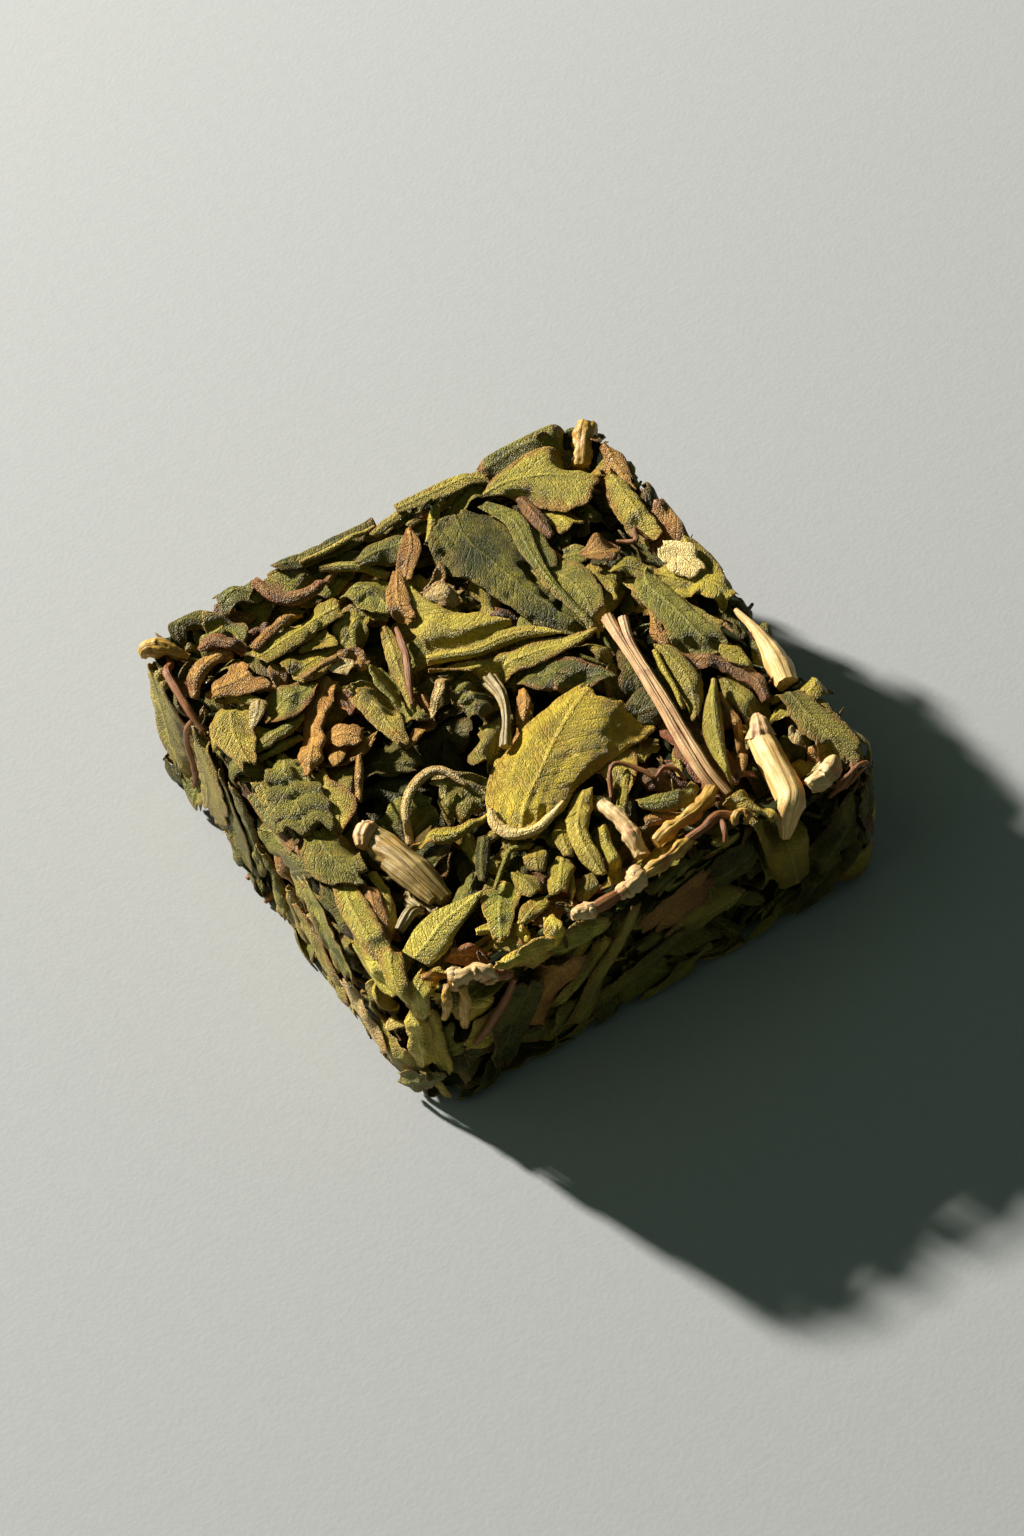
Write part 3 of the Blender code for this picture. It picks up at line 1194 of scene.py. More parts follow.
class Wood(Enum):
    """The finishes of the stalks."""

    STRAW = StalkFinish("straw_stalk", srgb(255, 226, 156), srgb(222, 168, 92), srgb(156, 88, 44))
    TAN = StalkFinish("tan_stalk", srgb(246, 208, 152), srgb(184, 134, 84), srgb(124, 68, 42), 0.45, 0.1)
    GOLD = StalkFinish("golden_twig", srgb(222, 182, 86), srgb(158, 112, 44), srgb(140, 72, 44), 0.6,
                       lumps=0.0005)
    BARK = StalkFinish("brown_petiole", srgb(176, 118, 66), srgb(108, 64, 36), srgb(70, 40, 26))
    CREAM = StalkFinish("cream_knot", srgb(238, 214, 160), srgb(206, 158, 88), srgb(176, 96, 52), 0.6,
                        lumps=0.0005)
    ASH = StalkFinish("ashen_stem", srgb(196, 176, 122), srgb(108, 92, 54), srgb(158, 122, 46), 0.6, 0.16, 7)
    HUSK = StalkFinish("striped_husk", srgb(202, 176, 112), srgb(104, 76, 38), srgb(184, 140, 52), 0.7, 0.07)


@dataclass(frozen=True)
class Stalk:
    """A bare stalk or twig through a few stops over a side, each with its rise, in millimetres."""

    side: Side
    wood: Wood
    radii: Array
    stops: Array
    sunk: bool


def twig(side: Side, wood: Wood, radii: tuple[float, ...], *stops: Triple, sunk: bool = False) -> Stalk:
    """A stalk typed in tenths of a millimetre.

    Args:
        side: the side that it lies on.
        wood: its finish.
        radii: its radii at even steps along it.
        stops: the places that it passes, with the rise of its top.
        sunk: whether it lies under what was laid before it.

    Returns:
        The stalk.
    """
    return Stalk(side, wood, np.array(radii) / 10, np.array(stops) / 10, sunk)


def blade(side: Side, finish: Finish, tone: float, crumple: float, *place: object, **shape: object) -> Leaf:
    """A leaf that follows stops typed in tenths of a millimetre, or a straight one.

    Args:
        side: the side that it lies on.
        finish: its finish.
        tone: how bright it is.
        crumple: how crumpled it is.
        place: its stops, or its x, y, heading, length and width.
        shape: its other fields. A roll, of one angle or two, is a curl that starts at the midrib.

    Returns:
        The leaf.
    """
    roll = shape.pop("roll", None)
    if roll is not None:
        shape.update(curl=roll if isinstance(roll, tuple) else (roll, roll), curl_from=0.0)
    if isinstance(place[0], tuple):
        shape["stops"] = np.array(place) / 10
        place = ()
    return Leaf(side, finish, *place, tone=tone, crumple=crumple, **shape)


class StalkTree:
    """Geometry Nodes that turn curves into ribbed, slightly lumpy stalks."""

    def __init__(self) -> None:
        """Builds the tree, with inputs for the ribs, the lumps and the finish."""
        self.tree = node_group("Ribbed Stalk", "GeometryNodeTree",
                               {**GROWN, "Ribs": ("NodeSocketInt", 9), "Rib Depth": (FLOAT, 0.12),
                                "Lumps": (FLOAT, 0.00012)}, {"Geometry": "NodeSocketGeometry"})
        g = Graph(self.tree)
        given = g.add("NodeGroupInput").outputs
        along = g.add("GeometryNodeSplineParameter").outputs["Length"]
        kept = g.add("GeometryNodeCaptureAttribute")
        kept.capture_items.new("FLOAT", "Run")
        g.feed(kept, {"Geometry": given["Geometry"], "Run": along})
        circle = g.add("GeometryNodeCurvePrimitiveCircle", {"Resolution": 36, "Radius": 1.0})
        turn = g.times(g.add("GeometryNodeSplineParameter").outputs["Factor"], 2 * math.pi)
        wave = g.math("COSINE", g.times(turn, given["Ribs"]))
        swell = g.fused(wave, given["Rib Depth"], 1.0)
        spot = g.add("GeometryNodeInputPosition").outputs[0]
        ringed = g.add("GeometryNodeSetPosition",
                       {"Geometry": circle.outputs[0], "Position": g.scaled(spot, swell)})
        profile = g.add("GeometryNodeCaptureAttribute")
        profile.capture_items.new("FLOAT", "Turn")
        g.feed(profile, {"Geometry": ringed.outputs[0], "Turn": turn})
        radius = g.add("GeometryNodeInputRadius").outputs[0]
        body = g.add("GeometryNodeCurveToMesh", {"Curve": kept.outputs["Geometry"],
                                                 "Profile Curve": profile.outputs["Geometry"],
                                                 "Scale": radius, "Fill Caps": True})
        place = g.scaled(g.add("GeometryNodeInputPosition").outputs[0], 1 / MM)
        lump = g.less(g.noise(place, 0.9, 3.0, 0.6), 0.5)
        push = g.times(lump, g.times(given["Lumps"], 2.0))
        normal = g.add("GeometryNodeInputNormal").outputs[0]
        moved = g.add("GeometryNodeSetPosition",
                      {"Geometry": body.outputs[0], "Offset": g.scaled(normal, push)})
        run = g.times(kept.outputs["Run"], 1 / MM)
        ring = profile.outputs["Turn"]
        grain = g.add("ShaderNodeCombineXYZ", {0: run, 1: g.math("COSINE", ring), 2: g.math("SINE", ring)})
        stored = g.add("GeometryNodeStoreNamedAttribute",
                       {"Geometry": moved.outputs[0], "Name": "grain", "Value": grain.outputs[0]},
                       data_type="FLOAT_VECTOR", domain="POINT")
        smooth = g.add("GeometryNodeSetShadeSmooth", {"Geometry": stored.outputs[0]})
        g.dress(smooth, given["Material"])


def grow(data: ID, tree: NodeTree, name: str, values: dict) -> Object:
    """Runs a Geometry Nodes tree on a curve or mesh and keeps the result as a plain mesh.

    Args:
        data: the curve or mesh that the tree starts from.
        tree: the tree.
        name: the new object's name.
        values: the tree's inputs, by name.

    Returns:
        The new object, at the origin.
    """
    source = bpy.data.objects.new("source", data)
    bpy.context.scene.collection.objects.link(source)
    bpy.context.view_layer.update()
    modifier = source.modifiers.new("grow", "NODES")
    modifier.node_group = tree
    for item in tree.interface.items_tree:
        if item.item_type == "SOCKET" and item.in_out == "INPUT" and item.name in values:
            modifier[item.identifier] = values[item.name]
    graph = bpy.context.evaluated_depsgraph_get()
    mesh = bpy.data.meshes.new_from_object(source.evaluated_get(graph), depsgraph=graph)
    mesh.name = name
    source.modifiers.remove(modifier)
    bpy.data.objects.remove(source)
    result = bpy.data.objects.new(name, mesh)
    bpy.context.scene.collection.objects.link(result)
    return result


T, F, L = Side.TOP, Side.FRONT, Side.LEFT
KHAKI, YELLOW, OLIVE, GREY = Finish.KHAKI, Finish.YELLOW, Finish.OLIVE, Finish.GREY
DARK, BROWN, PURPLE, CREAM = Finish.DARK, Finish.BROWN, Finish.PURPLE, Finish.CREAM

# Stalks and twigs that show, the outermost first, with radii and stops in tenths of a millimetre. A stop's
# rise is that of the stalk's top.
STALKS = (
    # The twin straws, the thick straw with its brown collar and the one at the right rim.
    twig(T, Wood.TAN, (5, 3.4, 3.2, 3.4, 3.8, 3.6, 3), (106, 22, 1), (102, -3, 1), (99, -30, 1),
        (94, -68, 0.5), (88, -111, -1), (85, -139, -2), (86, -158, -6)),
    twig(T, Wood.TAN, (4, 3.2, 3, 3.2, 3.2, 3.2, 3), (115, 14, 0), (107, -8, 1), (103, -36, 1),
        (99, -74, 0.5), (94, -113, -1), (91, -142, -2), (93, -165, -7)),
    twig(T, Wood.TAN, (3, 6, 7, 11), (150, -116, -5), (147, -124, -1), (143, -133, 1)),
    twig(T, Wood.STRAW, (9.5, 10.8, 11, 11.4, 10.5, 8.5, 4), (143, -129, -3), (136, -161, 1), (132, -190, 1),
        (126, -212, 0), (121, -230, 0), (117, -248, -2)),
    twig(T, Wood.STRAW, (2.2, 3.6, 6.2, 10.5, 8.5), (201, -24, -9), (201, -45, -5), (201, -67, -3),
        (200, -86, -3), (194, -104, -4)),
    twig(T, Wood.GOLD, (7.5, 9, 9.5, 7), (188, 178, -15), (207, 207, 8)),
    twig(T, Wood.GOLD, (3, 5.5, 7.5, 5), (-182, 182, -12), (-194, 195, -2), (-210, 204, 0)),
    # The cream knobs of the near corner and the strands that hang from them.
    twig(T, Wood.CREAM, (5, 9.5, 5, 7, 4.5, 8, 6), (-167, -195, -4), (-157, -200, 1), (-147, -201, 0),
        (-140, -209, 1), (-138, -222, -2)),
    twig(T, Wood.BARK, (3, 5.5, 3), (-135, -217, -3), (-128, -222, 1), (-122, -226, -3)),
    twig(F, Wood.GOLD, (3.5, 4.5, 3), (-161, 74, -3), (-162, 45, 0.5), (-163, 17, -3)),
    twig(F, Wood.GOLD, (2.5, 3, 2), (-174, 84, -4), (-178, 61, 0.5), (-181, 39, -3)),
    twig(F, Wood.BARK, (2.2, 3, 2.8, 2), (-119, 48, -3), (-130, 28, 0), (-144, 6, 0), (-156, -10, -3)),
    # The knotted twigs along the front rim.
    twig(T, Wood.GOLD, (5, 6.8, 4.5, 6.2, 4.5, 6, 4), (85, -154, -4), (68, -166, 0), (51, -170, 0),
        (37, -172, -1), (23, -176, -4)),
    twig(T, Wood.BARK, (3, 4.2, 2.8, 3.6), (84, -189, -3), (73, -183, 0), (60, -186, 0), (43, -189, -3)),
    twig(T, Wood.BARK, (2, 2.2, 1.4), (73, -186, -2), (70, -196, 0), (65, -209, -2)),
    twig(T, Wood.GOLD, (3.5, 6, 4, 5.5, 4), (48, -189, -4), (29, -193, 0), (14, -197, 0), (2, -198, -3)),
    twig(T, Wood.CREAM, (5, 9.5, 5.5, 6.5, 4.5), (2, -195, -3), (-10, -200, 1), (-27, -204, 0)),
    twig(T, Wood.BARK, (4, 5.2, 4.5), (-24, -203, -1), (-34, -204, 0), (-46, -204, -1)),
    twig(T, Wood.CREAM, (4, 6.8, 5, 3), (-43, -203, -2), (-52, -203, 0.5), (-63, -200, -3)),
    twig(T, Wood.GOLD, (1.3, 2, 1.6, 1.8, 1.2), (81, -198, -5), (82, -191, 0), (88, -189, 0.5),
        (92, -195, 0), (87, -203, -5)),
    # The rust strands by the right corner.
    twig(T, Wood.BARK, (1.4, 2, 1.7, 1.2), (198, -206, -2), (185, -205, 0.5), (175, -209, 0.5),
        (164, -212, -2)),
    twig(T, Wood.BARK, (1.2, 1.8, 1.8, 1), (184, -200, -3), (179, -208, 0.5), (171, -215, 0.5),
        (155, -224, -2)),
    twig(T, Wood.BARK, (1.2, 1.7, 1.7, 1), (197, -209, -3), (186, -211, 0.5), (175, -217, 0.5),
        (163, -222, -2)),
    twig(T, Wood.CREAM, (5, 8.5, 8, 4.5), (145, -201, -5), (156, -198, 1), (168, -194, 1), (178, -189, -4)),
    # The striped roll and the ashen stems.
    twig(T, Wood.HUSK, (9, 12, 9.5, 12.5, 10, 6), (-145, -44, -6), (-139, -73, -2), (-134, -98, -3),
        (-128, -124, -11)),
    twig(T, Wood.HUSK, (5, 7, 6.2, 4), (-149, -74, -6), (-144, -94, -4), (-138, -122, -9)),
    twig(T, Wood.TAN, (5, 7.5, 8.5, 5), (-156, -52, -6), (-149, -44, -1), (-139, -40, -5)),
    twig(T, Wood.ASH, (3.5, 4.5, 4, 4.2, 3.4), (-144, -96, -10), (-150, -108, -4), (-149, -120, -3),
        (-160, -126, -3), (-176, -133, -7), sunk=True),
    twig(T, Wood.ASH, (4, 5, 3), (-138, -106, -9), (-140, -120, -5), (-139, -132, -11), sunk=True),
    twig(T, Wood.ASH, (6, 4.2, 2.8, 4.2), (3, 27, -5), (1, 5, -2.5), (-7, -14, -2.5), (-21, -35, -5),
        sunk=True),
    twig(T, Wood.CREAM, (4, 6, 5, 7.2, 6, 6.6), (11, -120, -5), (12, -134, -1.5), (13, -147, -1.5),
        (12, -160, -2.5), (10, -180, -8), sunk=True),
    # Thin brown petioles and roots.
    twig(T, Wood.BARK, (2, 2.8, 3, 2.6, 1.4), (-31, 107, -5), (-36, 89, -1.5), (-40, 76, -1.5),
        (-49, 58, -2.5), (-58, 39, -8), sunk=True),
    twig(T, Wood.BARK, (2, 3.4, 3, 3, 2), (-200, 198, -6), (-202, 178, -1), (-205, 151, -1), (-209, 126, -2),
        (-214, 108, -7), sunk=True),
    twig(L, Wood.BARK, (2, 2.4, 2.2, 1.4), (-126, 68, -2), (-136, 20, -0.5), (-135, -9, -2), (-147, -57, -6),
        sunk=True),
    twig(T, Wood.BARK, (1.4, 2, 1.7, 2, 1.6, 2, 1.4), (19, -119, -7), (30, -101, -1.5), (39, -101, -1),
        (50, -116, -2), (54, -125, -3.5), (64, -122, -1), (71, -129, -2), (73, -137, -8), sunk=True),
    twig(T, Wood.BARK, (1.4, 2.2, 1.4), (154, 84, -7), (166, 74, -3), (172, 84, -3), (179, 72, -7),
        sunk=True),
)

# The leaves and strips that show, the outermost first: each has its side, finish, tone and crumple, then
# its stops in tenths of a millimetre, or its place, heading, length and width.
LEAVES = (
    # The folded khaki leaf in the middle of the top, and its brown tip.
    blade(T, KHAKI, 1.26, 0.05, (-28, 66, -4, 10, 10), (-12, 59, -1, 11, 10), (7, 51, 0, 9, 9),
        (30, 49, 0, 9, 8), (49, 43, -1, 8, 6), (70, 28, -4, 1, 1), roll=(-120, -100), ragged=0.02, rust=0.2,
        blunt=0, spread=1.1),
    blade(T, KHAKI, 1.18, 0.07, (-32, 57, -6, 1, 1), (-11, 47, -3.5, 6, 6), (7, 35, -2, 9, 8),
        (24, 27, -1.5, 12, 10), (42, 24, -1, 13, 12), (59, 20, -1.5, 11, 9), (77, 16, -2, 6, 5),
        (93, 16, -3, 1.2, 1.2), fold=-12, curl=(-30, -20), teeth=0.09, ragged=0.03, rust=1, blunt=0,
        spread=1.05),
    blade(T, BROWN, 1.1, 0.1, (-4, 150, -4, 3), (-14, 133, 0, 7), (-20, 119, 0, 8), (-17, 106, -3, 3.5),
        fold=30, rust=0.3),
    blade(T, KHAKI, 1.26, 0.1, (-4, 152, -5, 1, 1), (-8, 125, -2.5, 8, 8), (-8, 101, -2, 14, 14),
        (0, 81, -2.5, 19, 21), (16, 69, -2, 19, 20), (28, 63, -1.5, 13, 14), (43, 60, -2, 1, 1), fold=-14,
        curl=(0, -40), curl_from=0.5, ragged=0.04, rust=0.3, blunt=0, spread=1.1),
    blade(T, BROWN, 0.95, 0.1, (26, 184, -4, 2), (18, 166, 0, 7), (5, 152, 0, 8), (-8, 138, -3, 6), fold=40,
        pleat=0.35, ragged=0.1, blunt=0.1),
    blade(T, CREAM, 0.85, 0.6, (2, 120, -5, 5, 4), (13, 115, -2, 10, 10), (23, 106, -5, 8, 9), ruffle=0.3,
        cut=(0.25, 0.25), ragged=0.25, rust=0.8),
    blade(T, BROWN, 0.9, 0.16, (28, 140, -7, 1, 1), (21, 130, -4, 5, 5), (8, 125, -7, 3, 4), fold=60),
    # The broad dark leaf with its gutter.
    blade(T, OLIVE, 1.3, 0.04, (86, 170, -3, 4), (97, 142, 0, 6.5), (92, 113, 0, 6), (89, 80, 0, 3.5),
        (90, 50, 0, 2.5), (92, 21, -3, 1.5), fold=50, curl=(-20, -20), rust=0.2),
    blade(T, PURPLE, 1.35, 0.06, (114, 159, -3, 5), (114, 136, 0, 7.5), (114, 114, -4, 3), roll=-70,
        rust=0.1),
    blade(T, OLIVE, 1.3, 0.1, (107, 130, -4, 5), (100, 106, -1, 8.5), (96, 89, -4, 5), curl=(-40, -40)),
    blade(T, GREY, 1.05, 0.2, (93, 96, -4, 8), (100, 78, -0.5, 16), (103, 53, 0, 14.5), (99, 31, -1, 8.5),
        (93, 16, -4, 2), fold=20, pleat=0.1),
    blade(T, DARK, 1.3, 0.34, (62, 176, -3, 12), (60, 160, 0, 26), (59, 137, 0, 31), (63, 113, 0, 25),
        (68, 84, 0, 21), (76, 54, 0, 18), (88, 18, -4, 4), fold=14, curl=(-20, -10), pleat=0.34, ruffle=0.05,
        ragged=0.03, rust=0.25, blunt=0.1, spread=1.05),
    # The yellow leaf with the bright midrib, its cut end rolled up.
    blade(T, CREAM, 1.25, 0.04, (-63, -82, -2, 2), (-67, -96, 0.5, 4), (-61, -110, 1, 5), (-44, -116, 1, 5),
        (-27, -112, 0.5, 3.5), (-15, -107, -2, 1.5), roll=-60, teeth=0, ragged=0.02, rust=0.1, blunt=0),
    blade(T, YELLOW, 1.22, 0.04, (-58, -113, -4, 19, 12), (-36, -90, -0.5, 34, 29), (-17, -76, 0, 40, 30),
        (3, -61, 0, 34, 41), (22, -48, -1, 27, 49), (44, -35, -3, 17, 61), (59, -28, -5, 6, 62), fold=-30,
        curl=(-12, 0), pleat=0.12, teeth=0, cut=(0.05, 0.1), ragged=0.02, rust=0.35, blunt=0.1, spread=1),
    blade(T, OLIVE, 0.95, 0.16, (19, 16, -9, 1, 1), (32, 5, -5, 12, 12), (47, -2, -4, 15, 15),
        (60, -14, -4, 12, 12), (72, -22, -4, 7, 6), (81, -30, -6, 1, 1), fold=-14, teeth=0.08, ragged=0.04,
        rust=1, blunt=0, spread=1.1),
    # The right strip: a bud, curled blades and the long grey leaves.
    blade(T, KHAKI, 1, 0.02, (140, -74, -4, 3.5), (125, -96, -0.5, 8.5), (115, -115, 0, 12),
        (108, -131, -0.5, 10.5), (103, -145, -2, 6.5), (100, -158, -5, 1), fold=-46, roll=(-60, -90),
        ragged=0.01, blunt=0, spread=1.1),
    blade(T, BROWN, 0.9, 0.04, (137, -83, -3, 3), (135, -105, 0, 4.5), (130, -124, 0, 4.5),
        (120, -143, -1, 3.5), (111, -157, -5, 1), roll=-60, pleat=0.12, rust=0.3, blunt=0, spread=1.1),
    blade(T, YELLOW, 1.05, 0.02, (118, -26, -4, 2), (113, -46, 0, 2.6), (111, -63, 0, 2.6),
        (107, -82, -4, 2), roll=-80),
    blade(T, KHAKI, 0.9, 0.08, (124, -22, -4, 3.5), (125, -42, 0, 8), (124, -63, 0, 10), (119, -78, -1, 7.5),
        (110, -94, -5, 2.5), fold=-20, roll=(-50, -40), rust=0.6),
    blade(T, YELLOW, 1.05, 0.1, (159, -52, -3, 3), (164, -62, 0, 7), (168, -72, 0, 5), (170, -80, -4, 2),
        curl=(-50, -50)),
    blade(T, PURPLE, 1.15, 0.2, (132, -41, -4, 4), (147, -54, 0, 6), (157, -66, 0, 7.5), (165, -82, 0, 8),
        (166, -96, 0, 6.5), (162, -112, -4, 4), roll=-40, pleat=0.15, rust=0.3),
    blade(T, GREY, 1.1, 0.14, (154, 45, -5, 5), (148, 28, -0.5, 10.5), (151, 8, 0, 13.5), (153, -11, 0, 15),
        (154, -33, 0, 17), (158, -54, -2, 9), roll=-40, pleat=0.4, ragged=0.04, rust=0.4),
    blade(T, GREY, 1, 0.1, (149, -71, -4, 4), (149, -86, -1, 7), (150, -100, -1, 6.5), (148, -119, -2, 6),
        curl=(-40, -40), pleat=0.2),
    blade(T, GREY, 0.85, 0.14, (173, -75, -4, 3), (178, -96, -0.5, 6.5), (181, -120, 0, 9),
        (181, -139, 0, 13), (184, -158, 0, 15), (186, -180, 0, 16), (189, -206, -3, 12), fold=-10,
        curl=(-16, -20), pleat=0.2, ragged=0.1, rust=0.7, spread=1.05),
    blade(T, CREAM, 0.95, 0.04, (130, -196, -3, 12), (126, -214, 0, 12), (122, -228, 0, 7),
        (118, -244, -2, 1), fold=-20, roll=-40, ragged=0.03, blunt=0),
    blade(T, CREAM, 1.3, 0.35, (186, -186, -2, 5), (176, -191, 0, 10), (164, -195, 0, 9), (154, -197, -3, 5),
        ragged=0.15, rust=0),
    blade(T, CREAM, 0.8, 0.4, (166, -141, -4, 4), (164, -152, 0, 8.5), (164, -163, -4, 4), roll=-70,
        ragged=0.2),
    blade(T, YELLOW, 0.95, 0.06, (84, -177, -4, 4), (97, -181, 0, 9), (106, -188, 0, 12), (111, -200, 0, 13),
        (112, -216, -3, 10), roll=-60, ragged=0.03, rust=0.4),
    blade(T, BROWN, 0.95, 0.3, (132, -12, -4, 4), (139, -26, -1, 8), (142, -38, -4, 5), ragged=0.25,
        rust=0.6),
    # The far corner and the long strands along the far rim.
    blade(T, KHAKI, 1.08, 0.05, (92, 180, -4, 2), (111, 180, -1, 12.5), (130, 174, 0, 23), (147, 165, 0, 29),
        (162, 151, 0, 30), (172, 139, -3, 22), fold=-10, curl=(-12, -20), cut=(0, 0.06), ragged=0.02,
        rust=0.9, blunt=0),
    blade(T, OLIVE, 1.2, 0.12, (102, 202, -3, 4), (122, 206, 1, 13), (139, 207, 1, 12.5),
        (160, 206, 1, 11.5), (178, 204, 0, 10), (196, 198, -3, 3.5), curl=(-30, -30), rust=1),
    blade(T, KHAKI, 0.95, 0.06, (26, 207, -3, 4), (52, 206, 1, 7), (75, 205, 1, 8), (95, 203, 1, 7),
        (108, 200, -3, 4), fold=-20),
    blade(T, YELLOW, 0.85, 0.06, (-1, 195, -4, 3), (12, 198, 0.5, 4.5), (24, 204, 0.5, 5), (34, 208, -3, 4),
        fold=-30),
    blade(T, YELLOW, 1, 0.04, (32, 166, -5, 3), (45, 183, 0, 4.8), (55, 196, 0, 5), (64, 199, -5, 3),
        roll=-100),
    blade(T, YELLOW, 0.8, 0.06, (28, 194, -4, 3.5), (44, 198, 0, 4.2), (66, 201, 0, 4.2), (82, 199, -4, 3),
        roll=-80),
    blade(T, KHAKI, 0.95, 0.04, (-62, 202, -3, 2.2), (-38, 201, 1, 2.7), (-15, 203, 1, 2.7), (6, 206, -3, 2),
        roll=-80),
    blade(T, DARK, 1.35, 0.1, (-80, 208, -3, 6), (-50, 208, 0.5, 9), (-22, 208, 0.5, 9), (6, 208, -3, 6),
        fold=-20),
    blade(T, OLIVE, 1.2, 0.1, (-8, 207, -3, 5), (16, 208, 0, 8), (38, 208, -2, 6), fold=-20),
    blade(T, OLIVE, 1.2, 0.1, (-24, 176, -4, 4), (-9, 177, -1, 10), (7, 177, -1, 12), (22, 176, -4, 8),
        curl=(-30, -30)),
    blade(T, GREY, 1.2, 0.06, (-50, 195, -3, 3), (-34, 185, 0, 4.5), (-20, 173, 0, 5), (-8, 157, -3, 4.5),
        roll=-60),
    blade(T, BROWN, 0.8, 0.4, (124, 84, -4, 4), (135, 79, 0, 12), (148, 73, -3, 8), ragged=0.3, rust=0.6),
    blade(T, OLIVE, 1.4, 0.2, (112, 95, -4, 5), (122, 90, 0, 8.5), (130, 85, -4, 4)),
    blade(T, YELLOW, 0.95, 0.16, (132, 115, -5, 9, 12), (130, 135, -2.5, 7, 7), (119, 151, -6, 1, 1),
        fold=-30, cut=(0.2, 0), rust=1),
    blade(T, KHAKI, 1.05, 0.14, (189, 146, -8, 3, 4), (184, 118, -2, 12, 12), (183, 93, -1, 14, 14),
        (184, 68, -5, 5, 6), fold=-60, rust=0.8),
    blade(T, BROWN, 0.95, 0.16, (199, 170, -4, 3), (199, 149, -0.5, 7), (198, 137, -1, 6), (199, 118, -4, 2),
        roll=-80),
    blade(T, YELLOW, 0.85, 0.16, (134, 57, -6, 1.5), (146, 57, -2.5, 9), (160, 44, -6, 5), curl=(-40, -60)),
    blade(T, YELLOW, 0.85, 0.16, (120, 64, -7, 1), (126, 49, -1.5, 4), (121, 32, -6, 1), curl=(-60, -60)),
    blade(T, CREAM, 1.5, 0.3, (176, 56, -3, 7), (183, 44, 0, 12), (186, 30, 0, 12), (188, 16, -2, 7),
        ragged=0.2, rust=0),
    blade(T, YELLOW, 1.2, 0.3, (162, 39, -4, 7), (173, 26, 0, 14), (187, 14, 0, 16), (194, -3, 0, 12),
        (197, -18, -4, 5), fold=-20, ragged=0.12, rust=0.3),
    blade(T, YELLOW, 1.05, 0.3, (199, 52, -2, 8), (202, 34, -1, 13), (203, 14, -1, 13), (202, -4, -3, 7),
        ragged=0.2, rust=0.4),
    # The left corner.
    blade(T, PURPLE, 1.35, 0.06, (-100, 206, -3, 4.5), (-96, 191, 0, 5), (-85, 175, 0, 6),
        (-64, 172, 0, 4.8), (-51, 182, 0, 3.8), (-39, 193, -3, 3), roll=-60),
    blade(T, OLIVE, 1.2, 0.1, (-61, 170, -2, 7), (-51, 177, 0, 7), (-40, 183, -1, 6), curl=(-60, -30)),
    blade(T, OLIVE, 1.3, 0.12, (-92, 206, -3, 8), (-82, 195, -2, 14), (-70, 186, -2, 16), (-58, 180, -3, 11),
        fold=20, rust=0.8),
    blade(T, GREY, 1.3, 0.14, (-49, 161, -3, 5), (-38, 155, 0, 12), (-29, 145, 0, 18), (-26, 126, -2, 12),
        fold=10, rust=0.2),
    blade(T, BROWN, 0.75, 0.12, (-133, 147, -3, 3.5), (-117, 155, -0.5, 4.5), (-100, 159, -0.5, 4),
        (-83, 164, -3, 3), roll=-60),
    blade(T, YELLOW, 1, 0.16, (-134, 139, -2, 8), (-118, 141, -0.5, 9), (-101, 143, -0.5, 9),
        (-83, 146, -0.5, 9), (-59, 146, -2, 9), fold=-16, ragged=0.12),
    blade(T, YELLOW, 1, 0.16, (-103, 130, -3, 3), (-90, 130, -1, 7), (-76, 128, -1, 10), fold=-16,
        cut=(0, 0.1)),
    blade(T, BROWN, 0.8, 0.16, (-118, 101, -3, 3), (-98, 105, 0, 3.5), (-83, 105, -2, 3), roll=-60),
    blade(T, CREAM, 0.85, 0.4, (-92, 96, -3, 5), (-85, 96, 0, 7), (-77, 94, -3, 4)),
    blade(T, BROWN, 0.72, 0.4, (-81, 110, -2, 5), (-73, 101, 0, 8), (-69, 90, -3, 4), ragged=0.3),
    blade(T, YELLOW, 1, 0.14, (-121, 112, -3, 11), (-107, 115, -1, 14), (-94, 117, -1, 12),
        (-79, 117, -2, 8), fold=-14),
    blade(T, GREY, 1.1, 0.4, (-80, 120, -3, 5), (-68, 122, -0.5, 9), (-54, 129, -0.5, 10), (-44, 133, -3, 5),
        ragged=0.3),
    blade(T, KHAKI, 0.95, 0.35, (-62, 140, -3, 5), (-50, 139, -1, 8), (-36, 133, -1, 9), (-29, 122, -3, 5),
        ragged=0.2),
    blade(T, PURPLE, 1.35, 0.16, (-168, 171, -3, 3), (-156, 172, 0, 6.5), (-147, 164, 0, 5.5),
        (-139, 153, -3, 3.5), roll=-50),
    blade(T, BROWN, 1.1, 0.04, (-200, 136, -4, 3.5), (-186, 147, 0, 8), (-173, 155, 0, 8.5),
        (-159, 160, -0.5, 8), (-147, 159, -3, 5), roll=(-80, -60), blunt=0),
    blade(T, BROWN, 1.1, 0.1, (-190, 134, -4, 3), (-174, 129, -2, 8), (-159, 127, -1.5, 14),
        (-144, 129, -1, 21), fold=-16, cut=(0, 0.2), blunt=0),
    blade(T, CREAM, 0.75, 0.3, (-190, 175, -2, 8), (-184, 170, -1, 7), (-177, 162, -3, 4)),
    blade(T, OLIVE, 1.2, 0.06, (-188, 189, -2, 4.5), (-171, 181, 0, 6), (-152, 181, 0, 6),
        (-142, 182, -3, 6), roll=-70),
    blade(T, OLIVE, 1.1, 0.06, (-180, 197, -3, 3.5), (-170, 192, 0, 4.5), (-163, 185, -3, 3), roll=-70),
    blade(T, OLIVE, 1.25, 0.14, (-150, 199, -3, 5), (-143, 187, -0.5, 10), (-136, 174, -0.5, 10),
